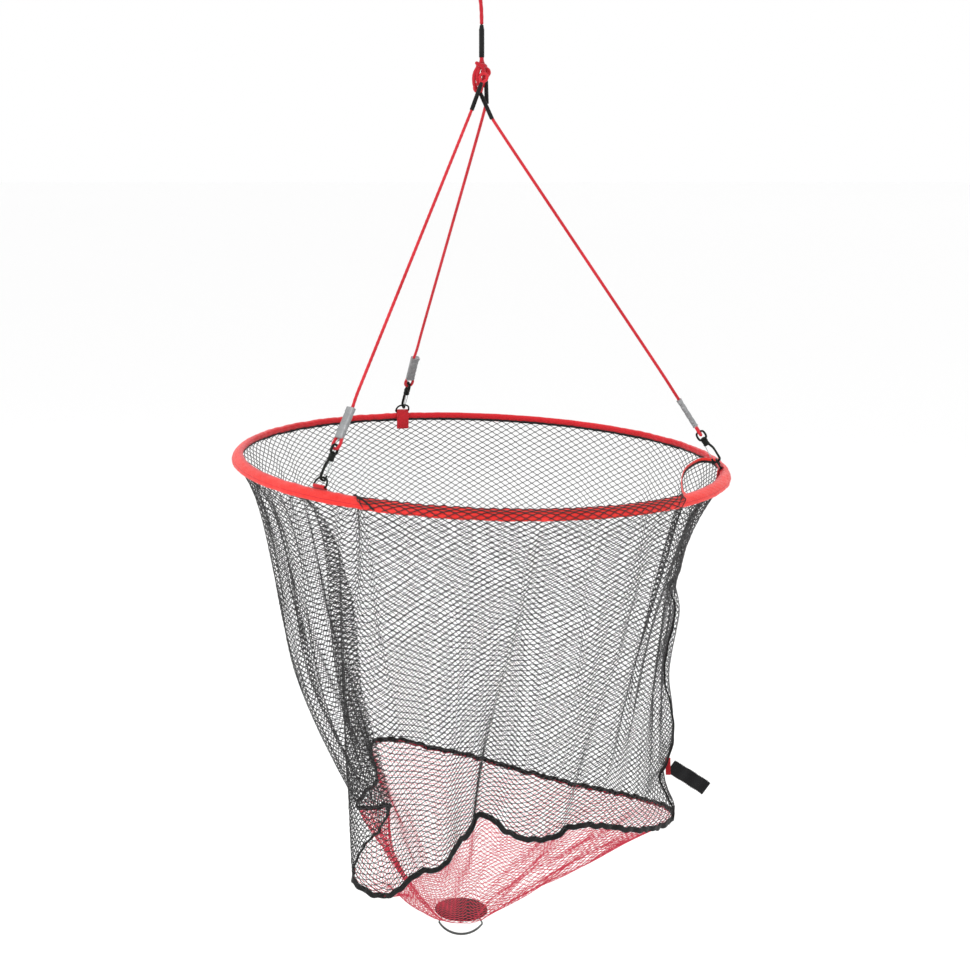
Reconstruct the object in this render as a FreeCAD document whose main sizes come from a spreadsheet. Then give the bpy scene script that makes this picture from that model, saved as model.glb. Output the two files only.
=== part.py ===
"""Folding drop net for crabs and for landing fish: a sprung hoop that hangs on three cord legs.

Millimetres, +Z up. The origin is where the hauling rope's end loop hangs on its hook.
+X is to the right and +Y is away from the front of the net. A leg's own frame has its
origin at the middle of the hoop's sleeve, Z up the leg, Y along the hoop and X outwards.
"""
import FreeCAD
import Part
import math
import os

Vector = FreeCAD.Vector
Rotation = FreeCAD.Rotation
Placement = FreeCAD.Placement

os.makedirs("parts", exist_ok=True)
doc = FreeCAD.newDocument("DropNet")

# ---------------------------------------------------------------- driving sizes, in mm and degrees
SIZES = [
    # clearances
    ("fit_clearance", 0.08),         # a pin in its hole
    ("loose_clearance", 0.3),
    ("tab_clearance", 0.5),          # webbing round the hoop's sleeve
    ("net_gap", 0.4),                # net to the hoop's sleeve and to the bindings
    ("cord_gap", 0.2),
    # rope and legs
    ("rope_diameter", 6.0),
    ("cord_diameter", 5.0),
    ("bar_depth", 280.0),            # hook to the middle of the rope eye's bar
    ("eye_height", 44.0),            # rope eye, from its bar to its sleeve
    ("eye_corner", 5.0),
    ("eye_slack", 0.7),              # room between a leg's eye and the rope's bar
    ("rope_sleeve_length", 48.0),
    ("rope_sleeve_wall", 1.0),
    ("hand_sleeve_length", 36.0),
    ("leg_sleeve_start", 10.0),      # from the bar
    ("leg_sleeve_length", 37.0),
    ("leg_sleeve_wall", 0.7),
    ("tail_room", 3.3),              # the leg's tucked tail beside its cord
    ("crimp_length", 50.0),
    ("crimp_wall", 2.0),
    # hoop
    ("hoop_radius", 390.0),
    ("hoop_drop", 587.0),            # bar to the middle of the hoop
    ("hoop_tilt", 2.3),              # right-hand side lower
    ("sleeve_radius", 10.0),
    ("sleeve_wall", 1.0),
    ("wire_radius", 2.5),
    ("ferrule_radius", 4.0),
    ("ferrule_length", 40.0),
    ("ferrule_azimuth", 62.0),
    ("hem_diameter", 5.0),
    # hangers
    ("tab_wall", 1.5),
    ("ring_wire", 3.0),
    ("ring_half_width", 11.5),
    ("ring_shoulder", 3.0),
    # snap hooks
    ("hook_wire", 3.2),
    ("hook_half_width", 5.8),
    ("hook_reach", 31.0),            # bow to the underside of the collar
    ("collar_radius", 5.2),
    ("collar_length", 10.0),
    ("gate_wire", 1.8),
    ("gate_pin_radius", 1.1),
    ("gate_pin_length", 2.0),
    ("gate_pivot_inset", 1.5),       # from the collar's face
    ("gate_pivot_rise", 2.4),
    ("swivel_post", 3.0),
    ("post_depth", 5.0),
    ("flange_thick", 1.6),
    ("swivel_neck", 4.5),
    ("swivel_slack", 1.0),
    # bag
    ("net_thickness", 1.2),
    ("waist_share", 0.55),           # of the seam's depth
    ("waist_radius", 306.5),
    ("waist_shift_right", 6.7),
    ("waist_shift_back", 10.0),
    ("seam_radius", 265.0),
    ("seam_depth", 600.0),
    ("seam_shift_right", 69.0),
    ("seam_shift_back", 20.0),
    ("side_seam_azimuth", -8.0),
    ("side_seam_width", 9.0),
    ("side_seam_thick", 2.0),
    ("binding_radius", 4.0),
    ("base_depth", 780.0),
    ("base_shift", -4.0),
    ("patch_radius", 45.0),
    ("patch_thick", 5.0),
    ("sinker_radius", 30.0),
    ("sinker_thick", 3.0),
    ("strip_width", 6.0),
    ("strip_thick", 1.6),
    ("base_ring_top", 29.0),
    ("base_ring_corner", 37.0),
    ("base_ring_side_drop", 16.0),
    ("base_ring_drop", 37.0),
    ("base_tab_wall", 1.5),
    ("base_tab_inset", 6.0),         # from the ring's corner
    # folding strap
    ("strap_rise", 100.0),           # above the bottom seam
    ("strap_length", 70.0),
    ("strap_width", 25.0),
    ("strap_thick", 2.0),
    ("strap_droop", 34.0),
    ("strap_tab_reach", 4.0),
    ("strap_tab_thick", 3.0),
]
LEG_AZIMUTHS = {"left": 232.0, "rear": 112.0, "right": -6.0}
LEG_PLACES = {"left": -1, "rear": 1, "right": 0}

sheet = doc.addObject("Spreadsheet::Sheet", "Sizes")
for line, (alias, value) in enumerate(SIZES, start=1):
    sheet.set(f"A{line}", alias)
    sheet.set(f"B{line}", str(value))
    sheet.setAlias(f"B{line}", alias)
doc.recompute()


def size(alias):
    """A driving size, read back from the sheet."""
    return float(getattr(sheet, alias))


ALIASES = [alias for alias, _ in SIZES]


def bind(item, formulas):
    """Bind properties of an object to the sheet; a formula's words are aliases and numbers."""
    for prop, formula in formulas.items():
        words = [f"Sizes.{word}" if word in ALIASES else word for word in formula.split()]
        item.setExpression(prop, " ".join(words))
    return item


# ---------------------------------------------------------------- makers of solids
nodes = []


def subpart(item, label, frame=None):
    """Name a finished sub-part and put it in its place."""
    item.Label = label
    if frame is not None:
        item.Placement = frame
    nodes.append(item)
    return item


def primitive(kind, place=None, **formulas):
    item = bind(doc.addObject(f"Part::{kind}", kind), formulas)
    if place is not None:
        item.Placement = place
    return item


def fuse(*items):
    joined = doc.addObject("Part::MultiFuse", "Joined")
    joined.Shapes = list(items)
    return joined


def cut(base, *tools):
    """Base less its tools."""
    piece = doc.addObject("Part::Cut", "Cut")
    piece.Base = base
    piece.Tool = tools[0] if len(tools) == 1 else fuse(*tools)
    return piece


def shape_part(shape, label, frame=None):
    item = doc.addObject("Part::Feature", label)
    item.Shape = shape
    return subpart(item, label, frame or Placement())


def along(direction):
    """Turns Z to a direction."""
    return Rotation(Vector(0, 0, 1), direction)


def corner_radius(before, corner, after):
    """A cord's bend: 0.45 of the shorter run over the tangent of half the turn."""
    run_in = corner.sub(before)
    run_out = after.sub(corner)
    turn = run_in.getAngle(run_out)
    return 0.45 * min(run_in.Length, run_out.Length) / math.tan(turn / 2)


def route(points, radii=None, closed=False):
    """Straight runs joined by tangent arcs. radii gives the bend at each inner corner."""
    count = len(points)
    corners = range(count) if closed else range(1, count - 1)
    arcs = {}
    for place in corners:
        before, corner, after = points[place - 1], points[place], points[(place + 1) % count]
        radius = radii[place] if radii else corner_radius(before, corner, after)
        run_in = corner.sub(before).normalize()
        run_out = after.sub(corner).normalize()
        half = run_in.getAngle(run_out) / 2
        reach = radius * math.tan(half)
        start = corner.sub(Vector(run_in).multiply(reach))
        end = corner.add(Vector(run_out).multiply(reach))
        inward = Vector(run_out).sub(run_in).normalize()
        middle = corner.add(Vector(inward).multiply(radius / math.cos(half) - radius))
        arcs[place] = (start, middle, end, radius)
    edges = []
    here = arcs[0][2] if closed else points[0]
    for place in (list(range(1, count)) + [0]) if closed else range(1, count - 1):
        start, middle, end, _ = arcs[place]
        if here.distanceToPoint(start) > 1e-6:
            edges.append(Part.LineSegment(here, start).toShape())
        edges.append(Part.Arc(start, middle, end).toShape())
        here = end
    if not closed:
        edges.append(Part.LineSegment(here, points[-1]).toShape())
    return Part.Wire(edges), [arc[3] for arc in arcs.values()]


def tube(label, points, diameter, radii=None, closed=False):
    """A round bar or cord along a route, checked against section times length."""
    wire, bends = route(points, radii, closed)
    first = wire.Edges[0]
    start = first.valueAt(first.FirstParameter)
    heading = first.tangentAt(first.FirstParameter)
    ring = Part.Wire([Part.Circle(start, heading, diameter / 2).toShape()])
    solid = wire.makePipeShell([ring], True, False)
    if solid.ShapeType == "Shell":
        solid = Part.Solid(solid)
    wanted = math.pi * diameter ** 2 / 4 * wire.Length
    print(f"{label}: {wire.Length:.1f} mm long, bends {[round(b, 1) for b in bends]} mm, "
          f"volume {solid.Volume / wanted:.3f} of section times length")
    return solid


def slot_body(label, width, thick, length, wall, frame):
    """A flattened tube round a bore that is width by thick."""
    body = doc.addObject("PartDesign::Body", label)
    ground = [plane for plane in body.Origin.OriginFeatures if plane.Role == "XY_Plane"][0]

    def slot_sketch(wide, deep):
        sketch = body.newObject("Sketcher::SketchObject", "Slot")
        sketch.AttachmentSupport = [(ground, "")]
        sketch.MapMode = "FlatFace"
        radius = deep / 2
        half = wide / 2 - radius
        top, bottom = Vector(0, half, 0), Vector(0, -half, 0)
        upward = Vector(0, 0, 1)
        for centre, begin in ((top, 0), (bottom, math.pi)):
            circle_ = Part.Circle(centre, upward, radius)
            sketch.addGeometry(Part.ArcOfCircle(circle_, begin, begin + math.pi), False)
        for side in (radius, -radius):
            sketch.addGeometry(Part.LineSegment(Vector(side, half, 0), Vector(side, -half, 0)), False)
        return sketch

    pad = body.newObject("PartDesign::Pad", "Pad")
    pad.Profile = slot_sketch(width + 2 * wall, thick + 2 * wall)
    bind(pad, {"Length": length})
    doc.recompute()
    whole = pad.Shape.Volume
    pocket = body.newObject("PartDesign::Pocket", "Bore")
    pocket.Profile = slot_sketch(width, thick)
    pocket.Type = "ThroughAll"
    pocket.Reversed = True
    doc.recompute()
    assert pocket.Shape.Volume < whole, f"{label}: the bore cut nothing"
    return subpart(body, label, frame)


# ---------------------------------------------------------------- hauling rope
rope = size("rope_diameter")
cord = size("cord_diameter")
bar_height = -size("bar_depth")
sleeve_bottom = bar_height + size("eye_height")
rope_start = sleeve_bottom + size("rope_sleeve_length") + size("loose_clearance")
strand = (rope + size("cord_gap")) / 2
rope_bore = (2 * rope + size("cord_gap") + size("loose_clearance"), rope + size("loose_clearance"))

# The rope runs up from its lower sleeve, goes round its end loop and back into the upper sleeve.
# Each point is in strand offsets or mm to the right, and a share of the way down to the sleeve.
LOOP_ROUTE = [(-11.0, 0.362), (-23.0, 0.234), (-27.0, 0.107)]
LOOP_RETURN = [(27.0, 0.112), (22.0, 0.240), (11.0, 0.367)]
LOOP_TOP_HALF = 13.0
JOIN_SHARE = 0.75
PARALLEL_SHARE = 0.5
TAIL_SHARE = 0.713
STRAIGHT_SHARE = 0.878
rope_points = [Vector(0, 0, rope_start), Vector(0, 0, STRAIGHT_SHARE * rope_start),
               Vector(-strand, 0, JOIN_SHARE * rope_start),
               Vector(-strand, 0, PARALLEL_SHARE * rope_start)]
rope_points += [Vector(x, 0, share * rope_start) for x, share in LOOP_ROUTE]
rope_points += [Vector(-LOOP_TOP_HALF, 0, rope / 2), Vector(LOOP_TOP_HALF, 0, rope / 2)]
rope_points += [Vector(x, 0, share * rope_start) for x, share in LOOP_RETURN]
rope_points += [Vector(strand, 0, PARALLEL_SHARE * rope_start),
                Vector(strand, 0, TAIL_SHARE * rope_start)]
shape_part(tube("main_rope", rope_points, rope), "main_rope")
slot_body("hand_loop_sleeve", *rope_bore, "hand_sleeve_length", size("rope_sleeve_wall"),
          Placement(Vector(0, 0, (JOIN_SHARE - 0.005) * rope_start), Rotation(Vector(0, 0, 1), 90)))

# ---------------------------------------------------------------- rope eye and its sleeve
leg_spacing = cord + 2 * size("cord_gap")
half_bar = leg_spacing + (cord + rope) / 2 + size("loose_clearance")
EYE_TUCK = 20.0          # the eye's strands inside the sleeve
EYE_BEND = 20.0
EYE_SHOULDER = 4.0       # sleeve to the upper bend
EYE_SIDE = 16.0          # bar to the lower bend
eye_points = [
    Vector(0, strand, sleeve_bottom + EYE_TUCK), Vector(0, strand, sleeve_bottom - EYE_SHOULDER),
    Vector(0, half_bar, bar_height + EYE_SIDE), Vector(0, half_bar, bar_height),
    Vector(0, -half_bar, bar_height), Vector(0, -half_bar, bar_height + EYE_SIDE),
    Vector(0, -strand, sleeve_bottom - EYE_SHOULDER), Vector(0, -strand, sleeve_bottom + EYE_TUCK),
]
corner = size("eye_corner")
eye_radii = [0, EYE_BEND, EYE_BEND, corner, corner, EYE_BEND, EYE_BEND, 0]
shape_part(tube("rope_eye", eye_points, rope, eye_radii), "rope_eye")
slot_body("rope_sleeve", *rope_bore, "rope_sleeve_length", size("rope_sleeve_wall"),
          Placement(Vector(0, 0, sleeve_bottom), Rotation()))

# ---------------------------------------------------------------- hoop
hoop_frame = Placement(Vector(0, 0, bar_height - size("hoop_drop")),
                       Rotation(Vector(0, 1, 0), size("hoop_tilt")))
subpart(primitive("Torus", Radius1="hoop_radius", Radius2="wire_radius"), "hoop_wire", hoop_frame)
subpart(cut(primitive("Torus", Radius1="hoop_radius", Radius2="sleeve_radius"),
            primitive("Torus", Radius1="hoop_radius", Radius2="sleeve_radius - sleeve_wall")),
        "hoop_sleeve", hoop_frame)
ferrule_bar = primitive("Cylinder", Radius="ferrule_radius", Height="ferrule_length")
ferrule_bar.Placement = Placement(Vector(size("hoop_radius"), -size("ferrule_length") / 2, 0),
                                  along(Vector(0, 1, 0)))
subpart(cut(ferrule_bar, primitive("Torus", Radius1="hoop_radius", Radius2="wire_radius")),
        "hoop_ferrule",
        hoop_frame.multiply(Placement(Vector(), Rotation(Vector(0, 0, 1), size("ferrule_azimuth")))))


# ---------------------------------------------------------------- legs
ARC_SPARE = 0.05         # keeps a bend just smaller than the half width it closes
HOOK_ROOT = (2.4, 2.0)   # the wire's start inside the collar: outwards, up
HOOK_SHOULDER = 9.0      # collar to the spine's upper bend
HOOK_SHOULDER_BEND = 14.0
NOSE_RISE = 2.6          # above the bow's end
GATE_TIP = (0.7, 3.4)    # past the nose: inwards, up from the bow's end
PIN_ROOM = 0.7           # round the gate's pin
tab_hole = size("sleeve_radius") + size("tab_clearance")
tab_outside = tab_hole + size("tab_wall")
tab_half = size("ring_half_width") - size("ring_wire") / 2 - size("tab_clearance")
leg_eye_radius = (rope + cord) / 2 + size("eye_slack")
swivel_radius = (cord + size("swivel_post")) / 2 + size("swivel_slack")
Y_AXIS = along(Vector(0, 1, 0))


def leg_frame(name):
    """The leg's frame, and its length from the hoop's sleeve to the rope eye's bar."""
    azimuth = math.radians(LEG_AZIMUTHS[name])
    radius = size("hoop_radius")
    foot = hoop_frame.multVec(Vector(radius * math.cos(azimuth), radius * math.sin(azimuth), 0))
    head = Vector(0, LEG_PLACES[name] * leg_spacing, bar_height)
    up = head.sub(foot)
    length = up.Length
    around = hoop_frame.Rotation.multVec(Vector(-math.sin(azimuth), math.cos(azimuth), 0))
    outward = around.cross(up).normalize()
    return Placement(foot, Rotation(outward, up.cross(outward), up, "ZXY")), length, head


def ring_heights():
    """Heights up the leg, from the sleeve's middle: D-ring bar, hook bow, collar, swivel eye."""
    ring_bar = size("sleeve_radius") + size("tab_wall") + size("ring_wire") / 2 + size("loose_clearance")
    ring_top = ring_bar + size("ring_shoulder") + size("ring_half_width")
    bow = ring_top - (size("ring_wire") + size("hook_wire")) / 2 - size("loose_clearance")
    collar = bow + size("hook_reach")
    eye = collar + size("collar_length") + size("swivel_neck") + swivel_radius
    return ring_bar, bow, collar, eye


def level_rod(radius, half, height=0.0):
    """Cylinder that lies along the hoop, centred on the leg."""
    rod = primitive("Cylinder", Placement(Vector(0, -half, height), Y_AXIS))
    rod.Radius = radius
    rod.Height = 2 * half
    return rod


def upright(radius, low, high):
    """Cylinder along the leg between two heights."""
    rod = primitive("Cylinder", Placement(Vector(0, 0, low), Rotation()))
    rod.Radius = radius
    rod.Height = high - low
    return rod


def ring_tab(name, frame, ring_bar):
    """Webbing round the hoop's sleeve, with a fold that holds the D-ring's bar."""
    wrap = level_rod(tab_outside, tab_half)
    fold = level_rod(size("ring_wire") / 2 + size("tab_wall"), tab_half, ring_bar)
    bore = level_rod(size("ring_wire") / 2 + size("fit_clearance"), tab_half, ring_bar)
    subpart(cut(fuse(wrap, fold), level_rod(tab_hole, tab_half), bore), f"{name}_ring_tab", frame)


def d_ring(name, frame, ring_bar):
    half = size("ring_half_width")
    top = ring_bar + size("ring_shoulder") + half
    points = [Vector(0, half, ring_bar), Vector(0, half, top),
              Vector(0, -half, top), Vector(0, -half, ring_bar)]
    bow = half - ARC_SPARE
    bend = size("ring_wire") * 0.6
    shape = tube(f"{name}_d_ring", points, size("ring_wire"), [bend, bow, bow, bend], closed=True)
    shape_part(shape, f"{name}_d_ring", frame)


def gate_pivot(collar):
    inset, rise = size("gate_pivot_inset"), size("gate_pivot_rise")
    return Vector(-size("collar_radius") + inset, 0, collar + rise)


def snap_hook(name, frame, bow, collar):
    """Bent hook with a collar that turns on the swivel's post."""
    half = size("hook_half_width")
    bend = half - 2 * ARC_SPARE
    points = [Vector(HOOK_ROOT[0], 0, collar + HOOK_ROOT[1]), Vector(half, 0, collar - HOOK_SHOULDER),
              Vector(half, 0, bow), Vector(-half, 0, bow), Vector(-half, 0, bow + half + NOSE_RISE)]
    wire = doc.addObject("Part::Feature", "HookWire")
    wire.Shape = tube(f"{name}_snap_hook", points, size("hook_wire"),
                      [0, HOOK_SHOULDER_BEND, bend, bend, 0])
    top = collar + size("collar_length")
    collar_bar = upright(size("collar_radius"), collar, top)
    post_hole = upright(size("swivel_post") / 2 + size("fit_clearance"), top - size("post_depth"),
                        top + size("post_depth"))
    pivot = gate_pivot(collar)
    room = size("gate_pin_radius") + PIN_ROOM
    slot_wide = size("gate_pin_length") + 2 * size("loose_clearance")
    gate_slot = primitive("Box", Placement(
        Vector(-2 * size("collar_radius"), -slot_wide / 2, collar - room), Rotation()))
    gate_slot.Length = 2 * size("collar_radius") + pivot.x + room
    gate_slot.Width = slot_wide
    gate_slot.Height = pivot.z - collar + 2 * room
    subpart(cut(fuse(wire, collar_bar), post_hole, gate_slot), f"{name}_snap_hook", frame)


def snap_gate(name, frame, bow, collar):
    """Sprung wire lever that closes the hook, on its pin in the collar's slot."""
    pivot = gate_pivot(collar)
    half = size("hook_half_width")
    lever = Vector(GATE_TIP[0] - half, 0, bow + half + GATE_TIP[1]).sub(pivot)
    wire = primitive("Cylinder", Placement(pivot, along(lever)), Radius="gate_wire / 2")
    wire.Height = lever.Length
    pin = primitive("Cylinder", Radius="gate_pin_radius", Height="gate_pin_length")
    pin.Placement = Placement(pivot.sub(Vector(0, size("gate_pin_length") / 2, 0)), Y_AXIS)
    subpart(fuse(wire, pin), f"{name}_snap_gate", frame)


def swivel_eye(name, frame, collar, eye):
    """A post that turns in the hook's collar, its flange, and a round eye in line with the hook."""
    top = collar + size("collar_length")
    post_radius = size("swivel_post") / 2
    post = upright(post_radius, top - size("post_depth") + size("loose_clearance"), eye - swivel_radius)
    flange_low = top + size("loose_clearance")
    flange = upright(size("swivel_post"), flange_low, flange_low + size("flange_thick"))
    loop = primitive("Torus", Placement(Vector(0, 0, eye), Y_AXIS), Radius2="swivel_post / 2")
    loop.Radius1 = swivel_radius
    subpart(fuse(post, flange, loop), f"{name}_swivel_eye", frame)


def leg_cord(name, frame, length, head, eye):
    """One cord: an eye through the swivel, the straight leg, and an eye round the rope's bar."""
    low = (eye + swivel_radius - (size("swivel_post") + cord) / 2 - size("cord_gap")
           + leg_eye_radius)
    lower = primitive("Torus", Placement(Vector(0, 0, low), along(Vector(1, 0, 0))),
                      Radius2="cord_diameter / 2")
    upper = primitive("Torus", Radius2="cord_diameter / 2")
    upper.Placement = frame.inverse().multiply(Placement(head, Y_AXIS))
    lower.Radius1 = upper.Radius1 = leg_eye_radius
    straight = upright(cord / 2, low + leg_eye_radius, length - leg_eye_radius)
    subpart(fuse(lower, straight, upper), f"{name}_leg_cord", frame)
    print(f"{name}_leg_cord: straight for {length - low - 2 * leg_eye_radius:.1f} mm, "
          f"{length - low + 2 * leg_eye_radius:.1f} mm from eye to eye")
    return low + leg_eye_radius + cord / 2


def cord_sleeves(name, frame, length, crimp_start):
    """The pressed sleeve above the lower eye, and the shrunk sleeve below the upper one."""
    pressed = (2 * cord + 2 * size("cord_gap"), cord + size("cord_gap"))
    slot_body(f"{name}_crimp_sleeve", *pressed, "crimp_length", size("crimp_wall"),
              frame.multiply(Placement(Vector(0, 0, crimp_start), Rotation())))
    snug = cord + 2 * size("fit_clearance")
    shrink_start = length - size("leg_sleeve_start") - size("leg_sleeve_length")
    slot_body(f"{name}_leg_sleeve", snug + size("tail_room"), snug, "leg_sleeve_length",
              size("leg_sleeve_wall"),
              frame.multiply(Placement(Vector(0, 0, shrink_start), Rotation())))


legs = {name: leg_frame(name) for name in LEG_AZIMUTHS}
for leg, (frame, length, head) in legs.items():
    ring_bar, bow, collar, eye = ring_heights()
    ring_tab(leg, frame, ring_bar)
    d_ring(leg, frame, ring_bar)
    snap_hook(leg, frame, bow, collar)
    snap_gate(leg, frame, bow, collar)
    swivel_eye(leg, frame, collar, eye)
    crimp_start = leg_cord(leg, frame, length, head, eye) + size("cord_gap")
    cord_sleeves(leg, frame, length, crimp_start)

# ---------------------------------------------------------------- bag
NET_TOP = "-1 * sleeve_radius - net_gap"
NET_FOOT = "-1 * seam_depth + binding_radius + net_gap"
BASE_TOP = "-1 * seam_depth - binding_radius - net_gap"
NET_TOP_INSET = 2.0      # the net's rim, inside the hoop's middle line


def circle(radius, right, back, height):
    item = doc.addObject("Part::Circle", "Circle")
    return bind(item, {"Radius": radius, "Placement.Base.x": right, "Placement.Base.y": back,
                       "Placement.Base.z": height})


def cone(*rims):
    """Ruled solid through level circles, from the top one down."""
    item = doc.addObject("Part::Loft", "Cone")
    item.Sections = [circle(*rim) for rim in rims]
    item.Solid = True
    item.Ruled = True
    return item


def net_shell(label, rims, notches=()):
    """Thin wall of net through its rims, open at both ends."""
    inside = [(f"{radius} - net_thickness", *place) for radius, *place in rims]
    subpart(cut(cone(*rims), cone(*inside), *notches), label, hoop_frame)


SEAM_RIM = ("seam_radius", "seam_shift_right", "seam_shift_back")
notches = []
for frame, _, _ in legs.values():
    notch = level_rod(tab_outside + size("loose_clearance"), tab_half + size("loose_clearance"))
    notch.Placement = hoop_frame.inverse().multiply(frame).multiply(notch.Placement)
    notches.append(notch)
net_shell("net_side", [
    (f"hoop_radius - {NET_TOP_INSET}", "0", "0", NET_TOP),
    ("waist_radius", "waist_shift_right", "waist_shift_back", "-1 * seam_depth * waist_share"),
    (*SEAM_RIM, NET_FOOT)], notches)
net_shell("base_panel", [
    (*SEAM_RIM, BASE_TOP),
    ("patch_radius + 2 * net_thickness", "base_shift", "0", "-1 * base_depth")])

seam_centre = Vector(size("seam_shift_right"), size("seam_shift_back"), -size("seam_depth"))
subpart(primitive("Torus", Radius1="seam_radius", Radius2="binding_radius"), "bottom_seam",
        hoop_frame.multiply(Placement(seam_centre, Rotation())))

# A black binding covers the net's side seam from the hoop to the bottom seam.
seam_angle = math.radians(size("side_seam_azimuth"))
outward = Vector(math.cos(seam_angle), math.sin(seam_angle), 0)
gap = size("net_gap")
seam_top = Vector(outward).multiply(size("hoop_radius") - NET_TOP_INSET).add(
    Vector(0, 0, -size("sleeve_radius") - gap))
seam_waist = Vector(outward).multiply(size("waist_radius")).add(
    Vector(size("waist_shift_right"), size("waist_shift_back"),
           -size("seam_depth") * size("waist_share")))
seam_foot = Vector(outward).multiply(size("seam_radius")).add(
    Vector(seam_centre.x, seam_centre.y, -size("seam_depth") + size("binding_radius") + gap))


def seam_frame(upper, lower, share=1.0):
    """Place on a run of the side seam, a share of the way down: Z up the seam, X outwards."""
    line = upper.sub(lower)
    across = line.cross(outward).normalize()
    out = across.cross(line).normalize()
    spot = upper.sub(Vector(line).multiply(share))
    return hoop_frame.multiply(Placement(spot, Rotation(out, across, line, "ZXY"))), line.Length


def binding(upper, lower, shorter=0.0):
    """Flat binding tape over one run of the side seam."""
    frame, length = seam_frame(upper, lower)
    tape = primitive("Box", Length="side_seam_thick", Width="side_seam_width")
    tape.Height = length - shorter
    tape.Placement = hoop_frame.inverse().multiply(frame).multiply(
        Placement(Vector(gap, -size("side_seam_width") / 2, 0), Rotation()))
    return tape


tab_below = tab_outside - size("sleeve_radius") + size("loose_clearance")
subpart(fuse(binding(seam_top, seam_waist, tab_below), binding(seam_waist, seam_foot)), "side_seam",
        hoop_frame)

# The hem leaves the hoop for a short way beside the right-hand leg, and hangs inside it.
# Each point is an inset from the hoop's middle line, an azimuth and a height.
HEM_ROUTE = [(17.0, -8.4, -2.0), (40.0, -11.0, -7.0), (58.0, -16.0, -12.0),
             (62.0, -22.0, -14.0), (48.0, -29.0, -12.0), (22.0, -35.0, -4.0)]


def hem_point(inset, azimuth, height):
    turn = Rotation(Vector(0, 0, 1), azimuth)
    return turn.multVec(Vector(size("hoop_radius") - inset, 0, height))


shape_part(tube("hem_band", [hem_point(*point) for point in HEM_ROUTE], size("hem_diameter")),
           "hem_band", hoop_frame)

# ---------------------------------------------------------------- patch, sinker and base ring
base_frame = hoop_frame.multiply(
    Placement(Vector(size("base_shift"), 0, -size("base_depth")), Rotation()))
patch_low = -size("patch_thick") / 2
sinker_low = -size("sinker_thick") / 2
pouch_low = sinker_low - size("cord_gap")
pouch = primitive("Cylinder", Placement(Vector(0, 0, pouch_low), Rotation()),
                  Radius="sinker_radius + tab_clearance", Height="sinker_thick + 2 * cord_gap")
disc = primitive("Cylinder", Placement(Vector(0, 0, patch_low), Rotation()),
                 Radius="patch_radius", Height="patch_thick")
subpart(cut(disc, pouch), "base_patch", base_frame)
subpart(primitive("Cylinder", Radius="sinker_radius", Height="sinker_thick"), "sinker",
        base_frame.multiply(Placement(Vector(0, 0, sinker_low), Rotation())))

bore_radius = math.hypot(size("strip_width"), size("strip_thick")) / 2 + size("loose_clearance")
fold_radius = bore_radius + size("base_tab_wall")
bar_drop = patch_low - fold_radius - size("tab_clearance")
bar_frame = base_frame.multiply(Placement(Vector(0, 0, bar_drop), Rotation()))
fold_half = size("base_ring_top") - size("base_tab_inset")


def lying_rod(radius):
    """Cylinder along the base ring's bar."""
    rod = primitive("Cylinder", Placement(Vector(-fold_half, 0, 0), along(Vector(1, 0, 0))))
    rod.Radius = radius
    rod.Height = 2 * fold_half
    return rod


neck_corner = Vector(-fold_half, -size("base_tab_wall"), 0)
neck = primitive("Box", Placement(neck_corner, Rotation()), Width="2 * base_tab_wall")
neck.Length = 2 * fold_half
neck.Height = patch_low - bar_drop
subpart(cut(fuse(lying_rod(fold_radius), neck), lying_rod(bore_radius)), "base_ring_tab", bar_frame)


def base_ring():
    """Flat steel strip bent to a fan: a bar on top, two legs and a bow."""
    front = -size("strip_width") / 2
    top, wide = size("base_ring_top"), size("base_ring_corner")
    side, drop = -size("base_ring_side_drop"), -size("base_ring_drop")
    left, right = Vector(-top, front, 0), Vector(top, front, 0)
    right_low, left_low = Vector(wide, front, side), Vector(-wide, front, side)
    line = Part.Wire([Part.LineSegment(left, right).toShape(),
                      Part.LineSegment(right, right_low).toShape(),
                      Part.Arc(right_low, Vector(0, front, drop), left_low).toShape(),
                      Part.LineSegment(left_low, left).toShape()])
    half = size("strip_thick") / 2
    outer = Part.Face(line.makeOffset2D(half))
    inner = Part.Face(line.makeOffset2D(-half))
    strip = outer.cut(inner).extrude(Vector(0, size("strip_width"), 0))
    return strip.Solids[0]


shape_part(base_ring(), "base_ring", bar_frame)

# ---------------------------------------------------------------- folding strap
# The strap is sewn to a webbing tab on the side seam; its root is cut in line with the seam.
run = seam_waist.z - seam_foot.z
strap_share = (seam_waist.z + size("seam_depth") - size("strap_rise")) / run
strap_place, _ = seam_frame(seam_waist, seam_foot, strap_share)
droop_angle = math.radians(size("strap_droop"))
root_height = size("strap_width") / math.cos(droop_angle)
tab_start = gap + size("side_seam_thick") + gap
flap_axis = tab_start + size("strap_tab_reach")
tab_thick = size("strap_tab_thick")
tab = primitive("Box", Placement(Vector(tab_start, -tab_thick / 2, -root_height / 2), Rotation()),
                Length="strap_tab_reach", Width="strap_tab_thick")
round_end = primitive("Cylinder", Placement(Vector(flap_axis, 0, -root_height / 2), Rotation()),
                      Radius="strap_tab_thick / 2")
tab.Height = round_end.Height = root_height
subpart(fuse(tab, round_end), "strap_tab", strap_place)

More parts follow.
